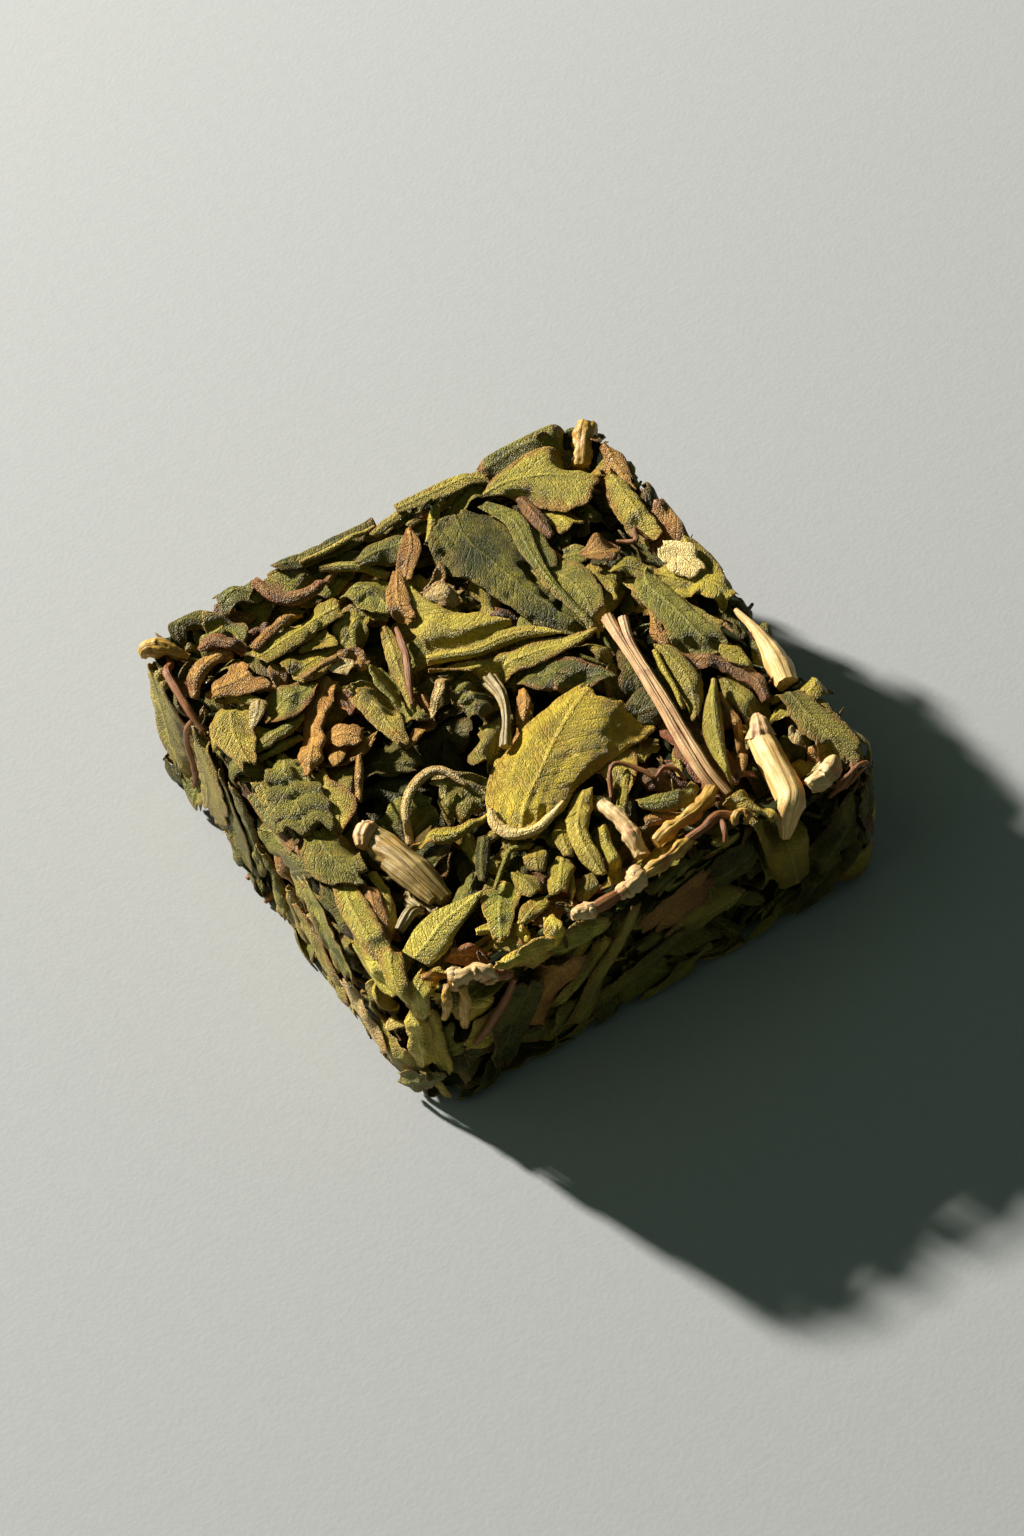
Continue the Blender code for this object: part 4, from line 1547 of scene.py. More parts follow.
        (-137, 165, -3, 5), fold=-20),
    blade(T, DARK, 1.2, 0.3, (-188, 203, -3, 5), (-169, 205, -0.5, 8), (-154, 205, -0.5, 8),
        (-144, 197, -3, 5), fold=-40),
    blade(T, OLIVE, 1.2, 0.16, (-133, 206, -2, 8), (-117, 207, 0, 10), (-106, 205, 0, 10),
        (-96, 207, -2, 5)),
    blade(T, PURPLE, 1, 0.3, (-140, 209, -2, 6), (-132, 204, 0, 10), (-125, 203, -2, 5)),
    blade(T, BROWN, 0.8, 0.4, (-128, 204, -3, 5), (-122, 195, -0.5, 6), (-118, 187, -3, 4)),
    blade(T, PURPLE, 0.7, 0.16, (-131, 172, -5, 4), (-119, 176, -2, 5), (-112, 170, -3, 4),
        (-116, 159, -9, 4), roll=-90),
    blade(T, PURPLE, 1.1, 0.16, (-191, 192, -3, 4), (-198, 170, 0, 5.5), (-202, 157, 0, 6),
        (-205, 142, -3, 3), fold=30, pleat=0.1),
    blade(T, CREAM, 0.85, 0.16, (-155, 102, -2, 5), (-162, 93, -0.5, 5), (-173, 82, -3, 1.5), fold=40,
        blunt=0),
    blade(T, KHAKI, 0.95, 0.05, (-185, 128, -3, 3.5), (-169, 118, 0, 5.5), (-158, 108, 0, 5.5),
        (-151, 97, -3, 4), roll=-90),
    blade(T, KHAKI, 1.08, 0.12, (-169, 113, -3, 19), (-181, 100, -1, 18), (-187, 87, -0.5, 16),
        (-190, 71, -1, 12), (-192, 54, -3, 5), fold=36, pleat=0.35, cut=(0.2, 0)),
    blade(T, OLIVE, 1.3, 0.2, (-156, 92, -3, 12), (-142, 92, -1, 14), (-129, 93, -1, 12), (-111, 98, -3, 7),
        fold=20, rust=1),
    blade(T, BROWN, 1, 0.16, (-125, 126, -4, 5), (-129, 118, -1, 7), (-135, 107, -4, 1.5), fold=50),
    blade(T, OLIVE, 1.25, 0.12, (-184, 66, -3, 4), (-160, 68, 0, 6), (-143, 71, -0.5, 5.5),
        (-132, 75, -3, 3), roll=-70),
    blade(T, OLIVE, 1.15, 0.12, (-185, 58, -4, 3), (-162, 59, -1, 4.5), (-143, 59, -3, 3), roll=-70),
    blade(T, BROWN, 1.15, 0.14, (-98, 97, -3, 8), (-115, 79, 0, 10), (-129, 65, 0, 8.5), (-138, 50, 0, 9),
        (-147, 37, -0.5, 8.5), (-158, 23, -3, 3.5), fold=-40, curl=(-30, -30), ridges=5, ridge_height=0.1,
        ragged=0.1, rust=0.4),
    blade(T, BROWN, 1.15, 0.2, (-130, 50, -3, 3), (-120, 42, 0, 9), (-114, 37, 0, 10), (-108, 30, -3, 7),
        ragged=0.25, rust=0.3),
    blade(T, BROWN, 1.05, 0.2, (-123, 41, -3, 6), (-130, 28, -0.5, 6), (-135, 18, -3, 3), rust=0.3),
    blade(T, KHAKI, 0.95, 0.1, (-37, 116, -5, 3), (-43, 94, -2.5, 6), (-49, 75, -2.5, 6), (-53, 58, -3.5, 4),
        (-60, 38, -8, 1), fold=-60, blunt=0),
    blade(T, GREY, 1.4, 0.25, (-64, 84, -2, 4.5), (-65, 67, 0, 7.5), (-67, 52, 0, 5.5), (-69, 42, -3, 2.5),
        ragged=0.2, rust=0),
    blade(T, KHAKI, 1.08, 0.16, (-89, 68, -4, 8), (-82, 48, -2, 12), (-85, 30, -2, 10), (-84, 5, -5, 4),
        fold=20),
    blade(T, GREY, 1, 0.3, (-92, 76, -5, 4), (-74, 60, -3, 13), (-65, 36, -4, 11), (-59, 17, -7, 4), fold=30,
        ragged=0.2),
    blade(T, PURPLE, 1.3, 0.16, (-95, 82, -6, 4), (-98, 69, -3, 6), (-102, 53, -7, 1), fold=40),
    blade(T, GREY, 0.95, 0.08, (-164, 53, -2, 14), (-171, 37, 0, 14), (-175, 21, 0, 17), (-180, 5, 0, 21),
        (-184, -11, 0, 20), (-188, -22, -2, 17), ridges=4.5, ridge_height=0.3, cut=(0.12, 0.12), rust=0.3),
    blade(T, KHAKI, 0.95, 0.2, (-152, 26, -3, 8), (-157, 9, 0, 11), (-155, -10, 0, 14), (-159, -23, -1, 9),
        (-167, -32, -3, 2), fold=-20, rust=0.9),
    blade(T, GREY, 0.95, 0.2, (-185, -22, -2, 12), (-184, -43, 0, 20), (-183, -62, -0.5, 20),
        (-176, -80, -3, 9), fold=-16),
    blade(T, YELLOW, 0.9, 0.16, (-196, 38, -2, 5), (-199, 25, -0.5, 6), (-203, 15, -3, 3)),
    blade(T, OLIVE, 1.15, 0.16, (-209, 34, -2, 5), (-209, 15, 0, 9), (-208, 2, 0, 9), (-207, -10, -2, 5),
        fold=-20, rust=0.9),
    # The middle, round the dark gap and the curled ring.
    blade(T, CREAM, 1, 0.04, (-65, -51, -12, 1.5), (-72, -34, -4, 3.6), (-83, -28, 0, 4.2),
        (-100, -33, 0, 4.4), (-115, -46, 0, 4.4), (-125, -67, -5, 3.6), roll=-50, rust=0.6, blunt=0,
        spread=1),
    blade(T, YELLOW, 1.15, 0.04, (-123, -68, -5, 3), (-113, -76, -0.5, 5.5), (-104, -83, 0, 8),
        (-92, -87, 0, 6), (-77, -85, -1, 4.2), (-62, -81, -6, 2), fold=-50, ragged=0.02, rust=1, blunt=0,
        spread=1),
    blade(T, CREAM, 0.95, 0.08, (-61, 38, -9, 1.5), (-56, 29, -3, 3.2), (-48, 26, -1, 4.2),
        (-37, 33, -1, 4.5), (-30, 42, -2, 3.5), (-19, 45, -8, 1.5), fold=60, rust=1, blunt=0, spread=1),
    blade(T, BROWN, 1.15, 0.1, (21, 7, -5, 3.5), (13, -9, -0.5, 6), (1, -24, -2, 5), (-12, -31, -9, 2),
        fold=-80, rust=0.4),
    blade(T, BROWN, 1.05, 0.06, (-118, 16, -4, 2), (-127, 0, -1, 3), (-138, -17, -4, 2), fold=-50),
    blade(T, OLIVE, 0.95, 0.2, (-17, 40, -9, 3), (-17, 24, -5, 13), (-19, 10, -5, 12), (-26, 2, -9, 5),
        fold=-40, ridges=4, ridge_height=0.14),
    blade(T, YELLOW, 0.95, 0.06, (42, -106, -5, 3), (30, -119, -1, 4.8), (21, -128, -1, 6.2),
        (15, -140, -5, 3), roll=-90),
    blade(T, OLIVE, 1.25, 0.06, (30, -139, -5, 4), (45, -148, -0.5, 7.8), (62, -150, -0.5, 8.2),
        (79, -142, -5, 6), roll=-90),
    blade(T, BROWN, 0.8, 0.16, (27, -153, -4, 3.5), (44, -157, -1, 5), (57, -161, -4, 3), curl=(-50, -50)),
    blade(T, KHAKI, 1.2, 0.03, (5, -103, -5, 7), (-9, -119, 0, 10.5), (-20, -136, 0, 8),
        (-25, -158, -1, 7.5), (-26, -178, -6, 3.5), roll=-100, pleat=0.2, ragged=0.02, rust=0.1),
    blade(T, YELLOW, 1.05, 0.05, (-3, -141, -5, 4), (-9, -160, 0, 5.5), (-12, -178, 0, 6.5),
        (-13, -193, -1, 6.2), (-2, -194, -6, 3.5), roll=-100, ragged=0.02),
    blade(T, YELLOW, 0.85, 0.1, (-22, -112, -5, 3), (-30, -128, -1, 6.2), (-36, -148, -5, 3.5), fold=-40),
    blade(T, OLIVE, 1.3, 0.02, (-52, -122, -5, 2), (-68, -120, 0, 2.4), (-81, -130, 0, 2.4),
        (-98, -145, -3, 2), roll=-80),
    blade(T, YELLOW, 0.9, 0.14, (-50, -124, -4, 4), (-58, -137, 0, 7.5), (-64, -149, -4, 4.5), fold=-30,
        curl=(-40, -40)),
    blade(T, YELLOW, 1.05, 0.14, (-40, -145, -4, 5), (-50, -159, 0, 9.5), (-61, -175, -4, 6), fold=-24,
        curl=(-30, -30), ragged=0.06),
    blade(T, YELLOW, 0.95, 0.25, (-79, -140, -4, 3), (-75, -154, 0, 9.5), (-75, -164, -4, 5), fold=-30,
        ragged=0.16),
    blade(T, YELLOW, 0.8, 0.2, (-98, -184, -4, 3), (-85, -177, 0, 7.5), (-70, -173, -4, 5), fold=-30,
        ragged=0.12),
    blade(T, KHAKI, 0.95, 0.16, (-43, -165, -4, 1.8), (-51, -179, 0, 2.2), (-58, -196, -4, 1.6), roll=-80),
    blade(T, OLIVE, 1.2, 0.2, (-33, -171, -4, 4), (-40, -183, -0.5, 7.5), (-47, -193, -4, 3.5), fold=-30),
    blade(T, DARK, 1.3, 0.16, (-80, -100, -5, 4.5), (-92, -117, -2, 5), (-101, -133, -5, 2), roll=-60),
    blade(T, YELLOW, 0.8, 0.1, (-61, -99, -5, 3), (-76, -100, -2, 4), (-90, -106, -5, 2), roll=-60),
    # The near corner.
    blade(T, KHAKI, 0.92, 0, (-179, -165, -1, 13), (-162, -158, 1.5, 16.5), (-147, -151, 1.5, 13.5),
        (-130, -147, 1, 8.5), (-107, -142, -2, 1.2), fold=-14, curl=(-16, -16), ragged=0.01, rust=0.1,
        blunt=0, spread=1.05),
    blade(T, OLIVE, 1.5, 0.1, (-88, -142, -5, 10), (-98, -153, -2, 12.5), (-106, -165, -2, 10),
        (-117, -186, -5, 5), fold=30, ragged=0.06),
    blade(T, YELLOW, 1.05, 0.25, (-129, -170, -4, 3), (-117, -173, -1, 5.5), (-106, -173, -4, 4),
        ragged=0.2),
    blade(T, PURPLE, 1.3, 0.3, (-153, -175, -5, 4), (-140, -185, -2, 8.5), (-131, -199, -5, 6), ragged=0.2),
    blade(T, BROWN, 0.9, 0.16, (-184, -183, -3, 4), (-173, -189, 0, 4.5), (-163, -197, -3, 3.5), roll=-60),
    blade(T, KHAKI, 1.2, 0.25, (-133, -205, -3, 4), (-120, -209, 0, 6), (-106, -209, 0, 6.5),
        (-94, -212, 0, 7.5), (-85, -218, -4, 4), ruffle=0.3, ragged=0.25),
    blade(T, YELLOW, 1.1, 0.25, (-77, -190, -4, 4), (-80, -205, 0, 6.5), (-85, -224, -4, 4), ruffle=0.3,
        ragged=0.25),
    blade(T, YELLOW, 0.72, 0.1, (-191, -148, -4, 6), (-200, -166, 0, 10), (-207, -184, 0, 9.5),
        (-212, -199, -4, 4), fold=-30, rust=1),
    blade(T, KHAKI, 0.8, 0.1, (-191, -76, -3, 7), (-196, -108, 0, 11.5), (-199, -133, 0, 10.5),
        (-203, -158, -2, 5), fold=-20, pleat=0.2, rust=0.8),
    blade(T, PURPLE, 1.6, 0.1, (-175, -88, -4, 8), (-183, -112, -0.5, 9), (-191, -138, -4, 4), fold=-30,
        rust=0.2),
    blade(T, GREY, 1.25, 0.1, (-222, -120, -3, 5), (-222, -142, 0, 11), (-221, -161, 0, 12),
        (-220, -182, -3, 6), fold=-20),
    blade(T, GREY, 1.15, 0.06, (-179, -179, -4, 5), (-192, -190, 0, 10), (-204, -202, 0, 12),
        (-217, -218, -2, 13), roll=(-70, -50)),
    blade(T, KHAKI, 1.1, 0.1, -21.6, -17.6, -80, 7, 3.4, lift=-0.15, roll=-50),
    blade(L, KHAKI, 1.05, 0.2, (190, 60, -3, 6), (199, 34, 0, 14), (204, 2, 0, 17), (205, -26, -3, 9),
        fold=-40),
    blade(L, OLIVE, 1.1, 0.2, 19.8, -5.4, 24, 6, 3, lift=-0.5, fold=30),
    blade(F, DARK, 1, 0.2, 20, 3, 84, 7, 3.2, lift=-0.4, fold=30),
    # The front.
    blade(F, KHAKI, 0.75, 0.04, (-15, 60, -3, 5), (-31, 19, 0, 7.5), (-48, -6, 0, 8.5), (-60, -31, 0, 9),
        (-72, -53, -3, 10), roll=-60, pleat=0.1, ragged=0.02, rust=0.8),
    blade(F, YELLOW, 0.8, 0.05, (104, 90, -2, 14), (112, 62, 0, 17), (117, 34, 0, 17), (121, 6, 0, 17),
        (125, -26, -3, 12), fold=-30, curl=(-30, -20), pleat=0.1, ragged=0.02, rust=0.2, blunt=0.1),
    blade(F, OLIVE, 0.95, 0.08, -1.7, -3.2, 24, 9.6, 2, lift=-0.25, fold=-40),
    blade(F, BROWN, 0.7, 0.2, 2.2, 3, 28, 6, 4.2, lift=-0.5, fold=20, cut=(0.1, 0.2)),
    blade(F, DARK, 1, 0.1, 7.6, 3.6, 20, 5.4, 4.6, lift=-0.5, fold=-20, cut=(0.1, 0.1)),
    blade(F, DARK, 1, 0.35, 17, 1, 64, 9.4, 4, lift=-0.2, fold=-50, ruffle=0.3),
    blade(F, DARK, 1, 0.3, 15.4, -4.2, 40, 8, 3.4, lift=-0.25, fold=50, ruffle=0.25),
    blade(F, KHAKI, 0.8, 0.2, 1.6, -6.4, 22, 7, 1.6, lift=-0.1, fold=-50, ruffle=0.3),
    blade(F, KHAKI, 0.7, 0.2, 11.4, -6.2, 14, 7, 1.8, lift=-0.1, fold=-50, ruffle=0.3),
    blade(F, KHAKI, 0.9, 0.16, -20.4, 1, -72, 11, 4.4, lift=-0.15, roll=-40),
    blade(F, DARK, 1, 0.3, -12.4, -1, -110, 9, 3.6, lift=-0.4, fold=50),
    # The left side, with broad leaves pressed flat against the wall of the mould.
    # The two broadest leaves have low tones: painted shade that darkens the lit left wall.
    blade(L, KHAKI, 0.78, 0.14, (-182, 70, -2, 16), (-176, 44, 0, 30), (-172, 12, 0, 35),
        (-168, -18, -0.5, 30), (-160, -44, -3, 15), fold=-10, ragged=0.1),
    blade(L, KHAKI, 0.75, 0.12, (-124, 60, -2, 12), (-112, 34, 0, 24), (-107, 6, 0, 29), (-110, -20, 0, 25),
        (-116, -42, -2, 14), fold=-10, curl=(-16, -16), ragged=0.12),
    blade(L, OLIVE, 1.3, 0.16, (-156, -26, -2, 16), (-152, -46, -0.5, 20), (-144, -68, -2, 12), fold=-20),
    blade(L, DARK, 1.2, 0.14, (-84, 44, -3, 10), (-76, 12, -1, 20), (-68, -20, -1, 20), (-56, -50, -2, 12),
        fold=30, pleat=0.2),
    blade(L, OLIVE, 1, 0.16, -4.6, 1, -70, 9, 3.2, lift=-0.2, roll=-70, pleat=0.2),
    blade(L, DARK, 1, 0.16, -6.4, -2.4, -62, 8, 2.6, lift=-0.2, roll=(-80, -70)),
    blade(L, GREY, 1, 0.16, -1.6, -2.4, -66, 6.6, 3.6, lift=-0.2, roll=-90),
    blade(L, YELLOW, 0.8, 0.16, 1.8, -2.6, -70, 6, 2.2, bend=60, roll=(-90, -60)),
    blade(L, KHAKI, 0.9, 0.16, 6, -3, -30, 8.6, 3, lift=-0.2, fold=-40, rust=1),
    blade(L, CREAM, 0.85, 0.2, 12.4, -3.4, -24, 6.6, 2.6, lift=-0.1, fold=-50, ruffle=0.2, cut=(0.1, 0.2)),
    blade(L, KHAKI, 0.95, 0.16, 17, -3.8, 10, 8, 4.2, lift=-0.15, fold=-30),
    blade(L, GREY, 1, 0.2, 7.6, 2.4, -50, 8.6, 4.4, lift=-0.35, fold=30, rust=0.8),
    # The lowest leaves along the far rim.
    blade(T, OLIVE, 1.15, 0.16, (-162, 196, -4, 8), (-138, 199, -2, 14), (-112, 198, -2, 14),
        (-88, 202, -4, 9), fold=-10, ragged=0.1),
    blade(T, DARK, 1.2, 0.16, (-106, 197, -5, 10), (-70, 200, -3, 16), (-34, 198, -3, 16), (-8, 202, -5, 10),
        fold=10, ragged=0.1),
    blade(T, OLIVE, 1, 0.16, (-22, 202, -5, 10), (8, 199, -3, 16), (36, 200, -3, 15), (58, 198, -5, 10),
        fold=-10, ragged=0.1),
    blade(T, GREY, 0.95, 0.16, (42, 204, -5, 10), (72, 200, -3, 15), (102, 201, -3, 15), (126, 198, -5, 10),
        fold=10, ragged=0.1),
    blade(T, DARK, 1.1, 0.16, (-200, 184, -6, 8), (-180, 192, -4, 14), (-156, 194, -5, 10), fold=10,
        ragged=0.1),
)

# Deep gaps between the leaves of the top: their centres and radii.
GAPS = ((-5, 0.4, 1.6), (-4.8, -3, 2.2), (-12.4, -1.4, 2.4), (-9, -2, 1.8), (-8.8, -5.4, 2.2),
    (-12.8, 15.6, 1.4), (-13.2, 6.6, 1), (17.2, 13.6, 1.3), (14.4, 9.6, 1.5), (13.2, 2, 1.4),
    (8.4, 5.4, 1.5), (2.4, -10.2, 1.2), (3.6, -13.2, 1.4), (14.6, -5.4, 1.3), (14.6, -9.6, 1.2),
    (15.8, -16.2, 1.2), (-10.5, 17.2, 1.2), (2.4, 14.4, 1.3))


class Habit(Enum):
    """How a torn leaf lies: open, folded, rolled into a strand, or as a narrow ribbon."""

    OPEN = 0
    FOLDED = 1
    ROLLED = 2
    RIBBON = 3


@dataclass
class TornLeaves:
    """The many smaller leaves between and under the listed ones."""

    mould: Mould
    seed: int = 5
    spacing: float = 3.15
    rim_spacing: float = 2.1
    rim_width: float = 1.6
    flush_share: float = 0.75
    gap_sink: float = 1.8
    shares: tuple[float, ...] = (0.62, 0.14, 0.15, 0.09)
    finishes: tuple[Finish, ...] = (KHAKI, OLIVE, DARK, GREY, YELLOW, BROWN, PURPLE)
    chances: tuple[float, ...] = (0.29, 0.26, 0.16, 0.1, 0.09, 0.06, 0.04)

    def leaf(self, rng: np.random.Generator, side: Side, x: float, y: float, lift: float) -> Leaf:
        """One torn leaf of a random habit.

        Args:
            rng: where its shape is drawn from.
            side: the side that it lies on.
            x: its place along the side.
            y: its place across the side.
            lift: its height over the pressed surface.

        Returns:
            The leaf.
        """

        def within(low: float, high: float) -> float:
            """A number between two others."""
            return float(rng.uniform(low, high))

        def about(middle: float, spread: float) -> float:
            """A number near another."""
            return float(rng.normal(middle, spread))

        habit = Habit(int(rng.choice(4, p=self.shares)))
        finish = self.finishes[int(rng.choice(len(self.finishes), p=self.chances))]
        level = side in (Side.TOP, Side.BASE)
        heading = within(0, 360) if level else about(0, 45) + float(rng.choice([0, 180]))
        # A torn leaf's tone drops with its depth: painted shade on the leaves sunk in the gaps.
        common = dict(side=side, x=x, y=y, heading=heading, finish=finish, lift=lift,
                      tone=within(0.85, 1.2) * (1.0 + 0.32 * lift), rust=within(0.1, 1.0), bend=about(0, 45),
                      pitch=about(0, 6), tilt=about(0, 12), shift=within(-0.6, 0.6), ragged=within(0.1, 0.3),
                      buckle=within(10, 40), crumple=within(0.12, 0.34),
                      pleat=float(rng.choice([0.0, 0.12, 0.3])),
                      ruffle=float(rng.choice([0.0, 0.0, 0.2, 0.4])),
                      cut=(within(0.06, 0.4), within(0.06, 0.4)))
        if habit is Habit.OPEN:
            curl = (about(-25, 30), about(-25, 30))
            shape = dict(length=within(4, 7.5), width=within(3.2, 5.4), fold=about(0, 32), curl=curl,
                         buckle=within(5, 25))
        elif habit is Habit.FOLDED:
            shape = dict(length=within(4, 8), width=within(2.8, 5),
                         fold=float(rng.choice([-1, 1])) * within(80, 130))
        elif habit is Habit.ROLLED:
            curl = (-within(80, 160), -within(80, 160))
            shape = dict(length=within(4, 8), width=within(1.8, 3.6), curl=curl, curl_from=0.0,
                         twist=about(0, 40))
        else:
            shape = dict(length=within(4.5, 8), width=within(0.8, 1.6), curl=(-60.0, -60.0),
                         bend=about(0, 90))
        return Leaf(**{**common, **shape})

    def scatter(self) -> list[Leaf]:
        """Torn leaves on an uneven grid over every side, the highest first, sunk in the gaps.

        Returns:
            The leaves in the order of laying.
        """
        rng = np.random.default_rng(self.seed)
        found = []
        for side in Side:
            reach = self.mould.reach[side.value]
            columns, rows = (max(3, round(2 * r / self.spacing)) for r in reach)
            for i, j in np.ndindex(columns, rows):
                x = ((i + rng.uniform(0.05, 0.95)) / columns * 2 - 1) * reach[0]
                y = ((j + rng.uniform(0.05, 0.95)) / rows * 2 - 1) * reach[1]
                rim = reach - np.abs((x, y)) < self.rim_width
                flush = side is not Side.TOP or rim.any() or rng.uniform() < self.flush_share
                lift = float(rng.uniform(-0.6, -0.1) if flush else rng.uniform(-2.6, -1.4))
                if side is Side.TOP and any(math.hypot(x - gx, y - gy) < r for gx, gy, r in GAPS):
                    lift -= self.gap_sink
                found.append(self.leaf(rng, side, float(x), float(y), lift))
        places = np.arange(-19.6, 20, self.rim_spacing)
        for side, turn, across in product((Side.TOP, Side.BASE), range(4), places):
            inward = self.mould.half - rng.uniform(0.2, 1.3)
            place = (across + rng.uniform(-0.8, 0.8), inward)
            cos, sin = round(math.cos(turn * math.pi / 2)), round(math.sin(turn * math.pi / 2))
            leaf = self.leaf(rng, side, float(place[0] * cos - place[1] * sin),
                             float(place[0] * sin + place[1] * cos), float(rng.uniform(-0.9, -0.2)))
            found.append(replace(leaf, heading=90.0 * turn + float(rng.normal(0, 22)), bend=0.0))
        return sorted(found, key=lambda leaf: -leaf.lift)


@dataclass
class Heap:
    """Lays stalks and leaves, the outermost first, and makes one piece of each kind."""

    mould: Mould
    finishes: Finishes
    fine: float = 0.2
    coarse: float = 0.42
    rings: int = 28
    ribbed: float = 1.25

    def __post_init__(self) -> None:
        """Starts with an empty mould."""
        self.bed = Bed(self.mould)
        self.press = LeafPress(self.mould, self.bed, seed=3)
        self.shells: dict[tuple[str, Finish], Shells] = {}
        self.paths: dict[Wood, list[tuple[Array, Array]]] = {}

    def lay_leaf(self, leaf: Leaf, step: float, kind: str) -> None:
        """Lays one leaf.

        Args:
            leaf: the leaf.
            step: the size of its faces.
            kind: the kind of piece that it joins.
        """
        self.shells.setdefault((kind, leaf.finish), Shells()).add(self.press.lay(leaf, step))

    def lay_stalk(self, stalk: Stalk) -> None:
        """Lays one stalk and records it in the bed.

        Args:
            stalk: the stalk.
        """
        line = smooth_path(stalk.stops, self.rings)
        share = np.linspace(0, 1, len(line))
        radius = np.interp(share, np.linspace(0, 1, len(stalk.radii)), stalk.radii)
        rise = line[:, 2] - radius
        points = self.mould.place(stalk.side, line[:, 0], line[:, 1], rise)
        if stalk.sunk:
            over = self.mould.distance(points) + radius - self.bed.room(points)
            rise = rise - spread(np.maximum(over, 0)[:, None], 3, 0)[:, 0]
            points = self.mould.place(stalk.side, line[:, 0], line[:, 1], rise)
        if len(stalk.stops) == 2:
            points = points[0] * (1 - share[:, None]) + points[-1] * share[:, None]
        low, high = np.array(CAD_BOX[0]) / MM, np.array(CAD_BOX[1]) / MM
        margin = radius[:, None] * self.ribbed
        points = np.clip(points, low + margin, high - margin)
        self.paths.setdefault(stalk.wood, []).append((points, radius))
        outward = self.mould.outward[stalk.side.value]
        sideways = np.cross(np.gradient(points, axis=0), outward)
        sideways /= np.linalg.norm(sideways, axis=1, keepdims=True) + 1e-9
        offset = np.linspace(-1, 1, 7)
        grid = points[:, None] + sideways[:, None] * (offset[None, :] * radius[:, None])[..., None]
        self.bed.cover(grid, np.sqrt(1 - offset**2)[None, :] * radius[:, None])

    def leaf_pieces(self) -> list[Object]:
        """One piece for each kind and finish of leaf.

        Returns:
            The pieces.
        """
        pieces = []
        for (kind, finish), shells in self.shells.items():
            name = f"{finish.value.name}_{kind}"
            piece = add_object(name, shells.mesh(name), self.finishes.leaf(finish.value))
            pieces.append(piece)
        return pieces

    def stalk_pieces(self) -> list[Object]:
        """One piece for each kind of stalk, grown by Geometry Nodes along its curves.

        Returns:
            The pieces.
        """
        tree = StalkTree().tree
        pieces = []
        for wood, paths in self.paths.items():
            curve = bpy.data.curves.new(wood.value.name, "CURVE")
            curve.dimensions = "3D"
            for points, radius in paths:
                spline = curve.splines.new("POLY")
                spline.points.add(len(points) - 1)
                flat = np.hstack([points * MM, np.ones((len(points), 1))])
                spline.points.foreach_set("co", flat.ravel())
                spline.points.foreach_set("radius", radius * MM)
            piece = grow(curve, tree, f"{wood.value.name}s",
                         {"Ribs": wood.value.ribs, "Rib Depth": wood.value.depth, "Lumps": wood.value.lumps,
                          "Material": self.finishes.stalk(wood.value)})
            pieces.append(piece)
        return pieces


@dataclass
class PressedCore:
    """The crumpled mass under the leaves, which closes the gaps; its near-black colour is painted shade."""

    mould: Mould
    bed: Bed
    cell: float = 0.7
    depth: float = 1.9
    deepest: float = 4.4
    gap_depth: float = 2.0
    gap_rim: float = 0.8
    rim_rise: float = 0.8
    clearance: float = 0.5
    roughness: float = 0.6

    def build(self, finishes: Finishes) -> Object:
        """Makes the core under what is laid.

        Args:
            finishes: the materials.

        Returns:
            The core's object.
        """
        half, height = self.mould.half, self.mould.height
        low, high = np.array([-half, -half, 0.0]), np.array([half, half, height])
        count = np.round((high - low) / self.cell).astype(int)
        corners, quads = [], []
        for axis in range(3):
            one, two = (axis + 1) % 3, (axis + 2) % 3
            for end in (0, 1):
                i, j = np.meshgrid(np.arange(count[one] + 1), np.arange(count[two] + 1), indexing="ij")
                grid = np.zeros((*i.shape, 3), int)
                grid[..., axis], grid[..., one], grid[..., two] = end * count[axis], i, j
                number = np.arange(i.size).reshape(i.shape) + sum(len(c) for c in corners)
                faces = quads_of(number)
                quads.append(faces if end else faces[:, ::-1])
                corners.append(grid.reshape(-1, 3))
        lattice, place = np.unique(np.vstack(corners), axis=0, return_inverse=True)
        box = low + lattice * (high - low) / count
        start = np.clip(box, low + self.mould.hub_depth, high - self.mould.hub_depth)
        ray = (box - start) / np.linalg.norm(box - start, axis=1, keepdims=True)
        length = self.mould.strike(start, ray)
        room = self.bed.room(start + ray * length[:, None])
        noise = Noise(17)
        rough = 0.5 * noise(box * 0.5) + 0.5 * noise.creased(box * 0.9)
        deep = np.full(len(box), self.depth)
        on_top = box[:, 2] > height - 0.01
        for x, y, radius in GAPS:
            near = np.hypot(box[:, 0] - x, box[:, 1] - y) / (radius + self.gap_rim)
            sunk = np.maximum(deep, self.depth + self.gap_depth * (1 - near))
            deep = np.where(on_top, sunk, deep)
        edge = np.sort(np.minimum(box - low, high - box), axis=1)[:, 1]
        deep = deep - self.rim_rise * (1 - ease(edge, 0.5, 3.0))
        rise = np.minimum(room - self.clearance, -deep) - rough * self.roughness
        rise = np.maximum(rise, -self.deepest)
        vertices = start + ray * (length + rise)[:, None]
        mesh = quad_mesh("pressed_core", vertices * MM, place.reshape(-1)[np.vstack(quads)])
        piece = add_object("pressed_core", mesh, finishes.core())
        return piece


